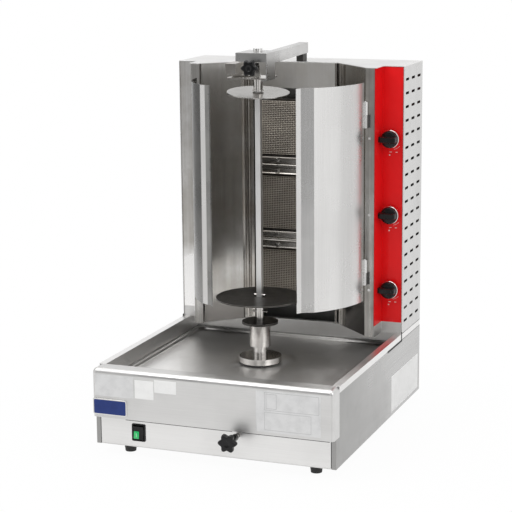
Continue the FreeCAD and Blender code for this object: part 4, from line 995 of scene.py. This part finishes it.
turned.links.new(cuts, given["Height"])

turned_steel = finished(
    "turned_steel", turned,
    {"Bright": (0.68, 0.66, 0.64, 1), "Dull": (0.50, 0.48, 0.46, 1), "Worn": (0.82, 0.81, 0.80, 1),
     "Smooth": 0.09, "Rough": 0.22}, 1.0, 0.08)
rod_steel = sheet_steel("rod_steel", ALONG_Z, 0.92, 0.80, 0.34, 0.5)
top_plate = finished(
    "top_plate", turned,
    {"Bright": (0.42, 0.405, 0.385, 1), "Dull": (0.28, 0.27, 0.255, 1), "Worn": (0.80, 0.79, 0.77, 1),
     "Smooth": 0.16, "Rough": 0.30}, 1.0, 0.08)
blued_plate = finished(
    "blued_plate", turned,
    {"Bright": (0.060, 0.057, 0.053, 1), "Dull": (0.030, 0.028, 0.026, 1), "Worn": (0.45, 0.43, 0.40, 1),
     "Rings": 500.0, "Smooth": 0.26, "Rough": 0.45}, 0.7, 0.12)
dress(turned_steel, "base_disc", "drive_hub", "drive_shaft", "lower_sleeve", "retaining_pin", "top_bush",
      "adjusting_rod")
dress(rod_steel, "spit_rod")
dress(top_plate, "top_disc")
dress(blued_plate, "meat_disc", "lower_disc")

# ---- Motor ---------------------------------------------------------------------------------------
# A cast aluminium gear motor hangs under the tray on a folded carriage that slides on two rails.
cast = finished("cast_aluminium", moulded, {"Light": (0.50, 0.50, 0.50, 1), "Dark": (0.34, 0.34, 0.35, 1),
                                            "Grain size": 420.0, "Smooth": 0.4, "Rough": 0.62}, 0.9, 0.35)
dress(cast, "gear_motor")

# ---- Top arm -------------------------------------------------------------------------------------
# A folded stainless arm runs forward from the cabinet's back to a head that holds the upper bearing, its
# slide and the swinging latch. The head, its slide and the latch are a darker, streaked copy of the
# steel, painted shade. A black block under its rear end takes the fixing bolt; its black is painted
# shade for the shadowed inside of the arm's rear end.
arm_steel = sheet_steel("arm_steel", ALONG_Y, 0.62, 0.46, 0.20, 0.40)
shaded_head_steel = finished(
    "shaded_head_steel", smoked,
    {"Clean": (0.56, 0.54, 0.51, 1), "Smoke and shade": (0.24, 0.22, 0.20, 1), "Straw": (0.45, 0.40, 0.33, 1),
     "Streak": (60.0, 6.0, 60.0), "Amount": 0.5, "Start": 0.5, "End": 0.9, "Smooth": 0.18, "Rough": 0.36},
    1.0, 0.08)
# The arm foot is painted black as painted shade for the shadowed inside of the arm's rear end.
shade_black_paint = finished(
    "shade_black_paint", turned,
    {"Bright": (0.045, 0.043, 0.04, 1), "Dull": (0.022, 0.021, 0.02, 1), "Worn": (0.22, 0.21, 0.20, 1),
     "Smooth": 0.35, "Rough": 0.55}, 0.4, 0.1)
dress(arm_steel, "top_arm")
dress(shaded_head_steel, "bearing_slider", "latch_bar")
dress(shade_black_paint, "arm_foot")
